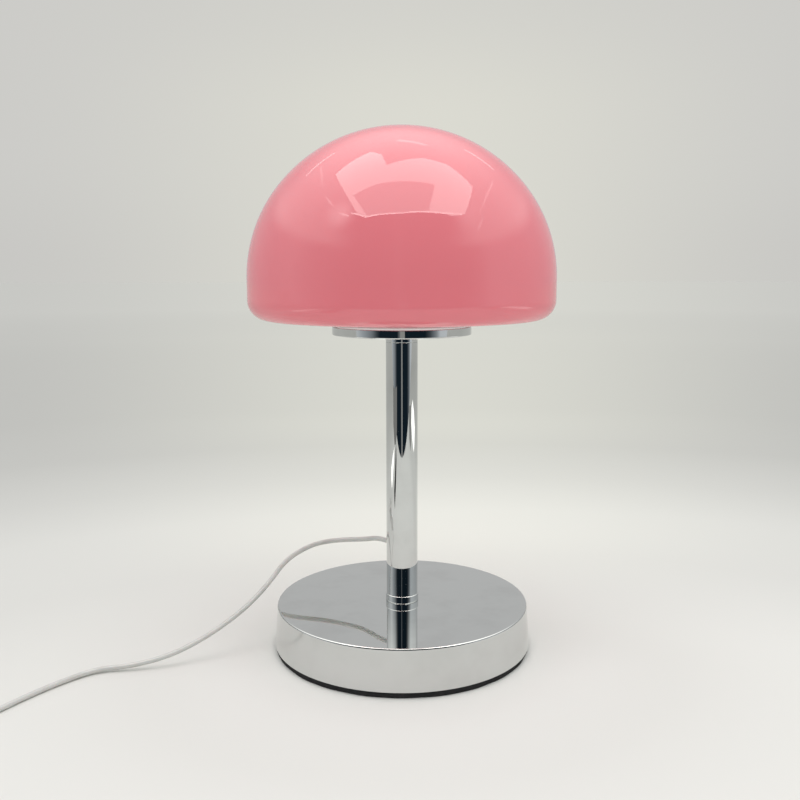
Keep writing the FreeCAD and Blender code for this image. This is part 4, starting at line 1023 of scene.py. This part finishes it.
def slab_outline(inset):
    """The case's outline set in by this much: a rounded rectangle with close points all round.

    One half runs up the end, round a corner, along the side by even turns seen from the middle,
    and round the next corner. The other half is the same one turned by half a turn.
    """
    far, aside, bend = case_length / 2 - case_round, case_width / 2 - case_round, case_round - inset
    across_end = np.linspace(-aside, aside, end_points)
    end = np.column_stack([np.full(end_points, far + bend), across_end])
    swing = np.linspace(0.0, np.pi / 2, 10)[1:]
    corner = bend * np.column_stack([np.cos(swing), np.sin(swing)])
    next_corner = bend * np.column_stack([-np.sin(swing), np.cos(swing)])
    reach = np.arctan2(case_width / 2, far)
    along_side = case_width / 2 / np.tan(np.linspace(reach, np.pi - reach, side_points + 1)[1:])
    side = np.column_stack([along_side, np.full(side_points, aside + bend)])
    half = np.vstack([end, (far, aside) + corner, side, (-far, aside) + next_corner])
    return np.vstack([half, -half])


def moulded_cover(name, middle):
    """The case's cover: a closed run of rows, up its outside, through the hole, down its inside.

    On the round upper edge a row is set in by round * (1 - cos b) at top - round * (1 - sin b). The
    hole's rows are circles whose points have the bearings of the outline's points. No point is
    lower than the cord's arch: foot + sqrt(notch squared - y squared).
    """
    bend = np.linspace(0.0, np.pi / 2, 8)
    outside = [(seam, case_foot), (0.0, case_foot + seam)]
    outside += [(top_round * (1 - np.cos(b)), case_top - top_round * (1 - np.sin(b))) for b in bend]
    hole = [
        (button_hole + ease, case_top),
        (button_hole, case_top - ease),
        (button_hole, case_top - case_wall),
    ]
    inside = [(case_wall, case_top - case_wall), (case_wall, case_foot)]
    turn = np.arctan2(slab_outline(0.0)[:, 1], slab_outline(0.0)[:, 0])
    circle = np.column_stack([np.cos(turn), np.sin(turn)])
    flat = [slab_outline(inset) for inset, _ in outside] + [radius * circle for radius, _ in hole]
    flat = np.array(flat + [slab_outline(inset) for inset, _ in inside])
    level = np.array([z for _, z in outside + hole + inside])[:, None]
    arch = case_foot + np.sqrt(np.clip(cord_notch**2 - flat[:, :, 1] ** 2, 0.0, None))
    spots = middle + flat[:, :, :1] * stow_along + flat[:, :, 1:] * stow_aside
    points = np.dstack([spots, np.maximum(level, arch)])
    number = np.arange(level.size * len(turn)).reshape(level.size, -1)
    below, side = np.roll(number, -1, axis=0), np.roll(number, -1, axis=1)
    cells = np.stack([number, side, np.roll(below, -1, axis=1), below], axis=2).reshape(-1, 4)
    return joined(name, points.reshape(-1, 3), cells)


middle = np.array([(case_low.x + case_high.x) / 2, (case_low.y + case_high.y) / 2])
switch_cover = moulded_cover("switch_cover_moulded", middle)
paint(switch_cover, case_plastic)
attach(switch_cover, "lamp")
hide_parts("switch_cover")

press_low, press_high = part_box("switch_button")
press_radius, lip_radius, stem_radius, lip, slack = 0.0048, 0.0058, 0.0024, 0.001, 0.0002
lip_top = case_top - case_wall - slack
press = lathe("button_moulded", rounded([
    (0.0, press_low.z),
    (stem_radius, press_low.z, 0.0002),
    (stem_radius, lip_top - lip),
    (lip_radius, lip_top - lip, 0.0002),
    (lip_radius, lip_top, 0.0002),
    (press_radius, lip_top),
    (press_radius, press_high.z, 0.0007),
    (0.0, press_high.z),
], closed=False), columns=96, closed=False)
press.data.transform(Matrix.Translation((*middle, 0.0)))
paint(press, button_plastic)
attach(press, "button")
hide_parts("switch_button")


# ---- Plug ----------------------------------------------------------------------------------------
# A flat moulded plug with a tapered strain relief, and a folded steel shell round a black tongue
# with four gilded contacts.
shell_steel = plated_finish("shell steel", (0.66, 0.66, 0.67), 0.2, 0.0005)
gilding = plated_finish("gilding", (0.85, 0.62, 0.24), 0.2, 0.0003)
coat(case_plastic, "plug_body")
coat(shell_steel, "plug_shell")
coat(black_plastic, "plug_tongue")
coat(gilding, "plug_contacts")
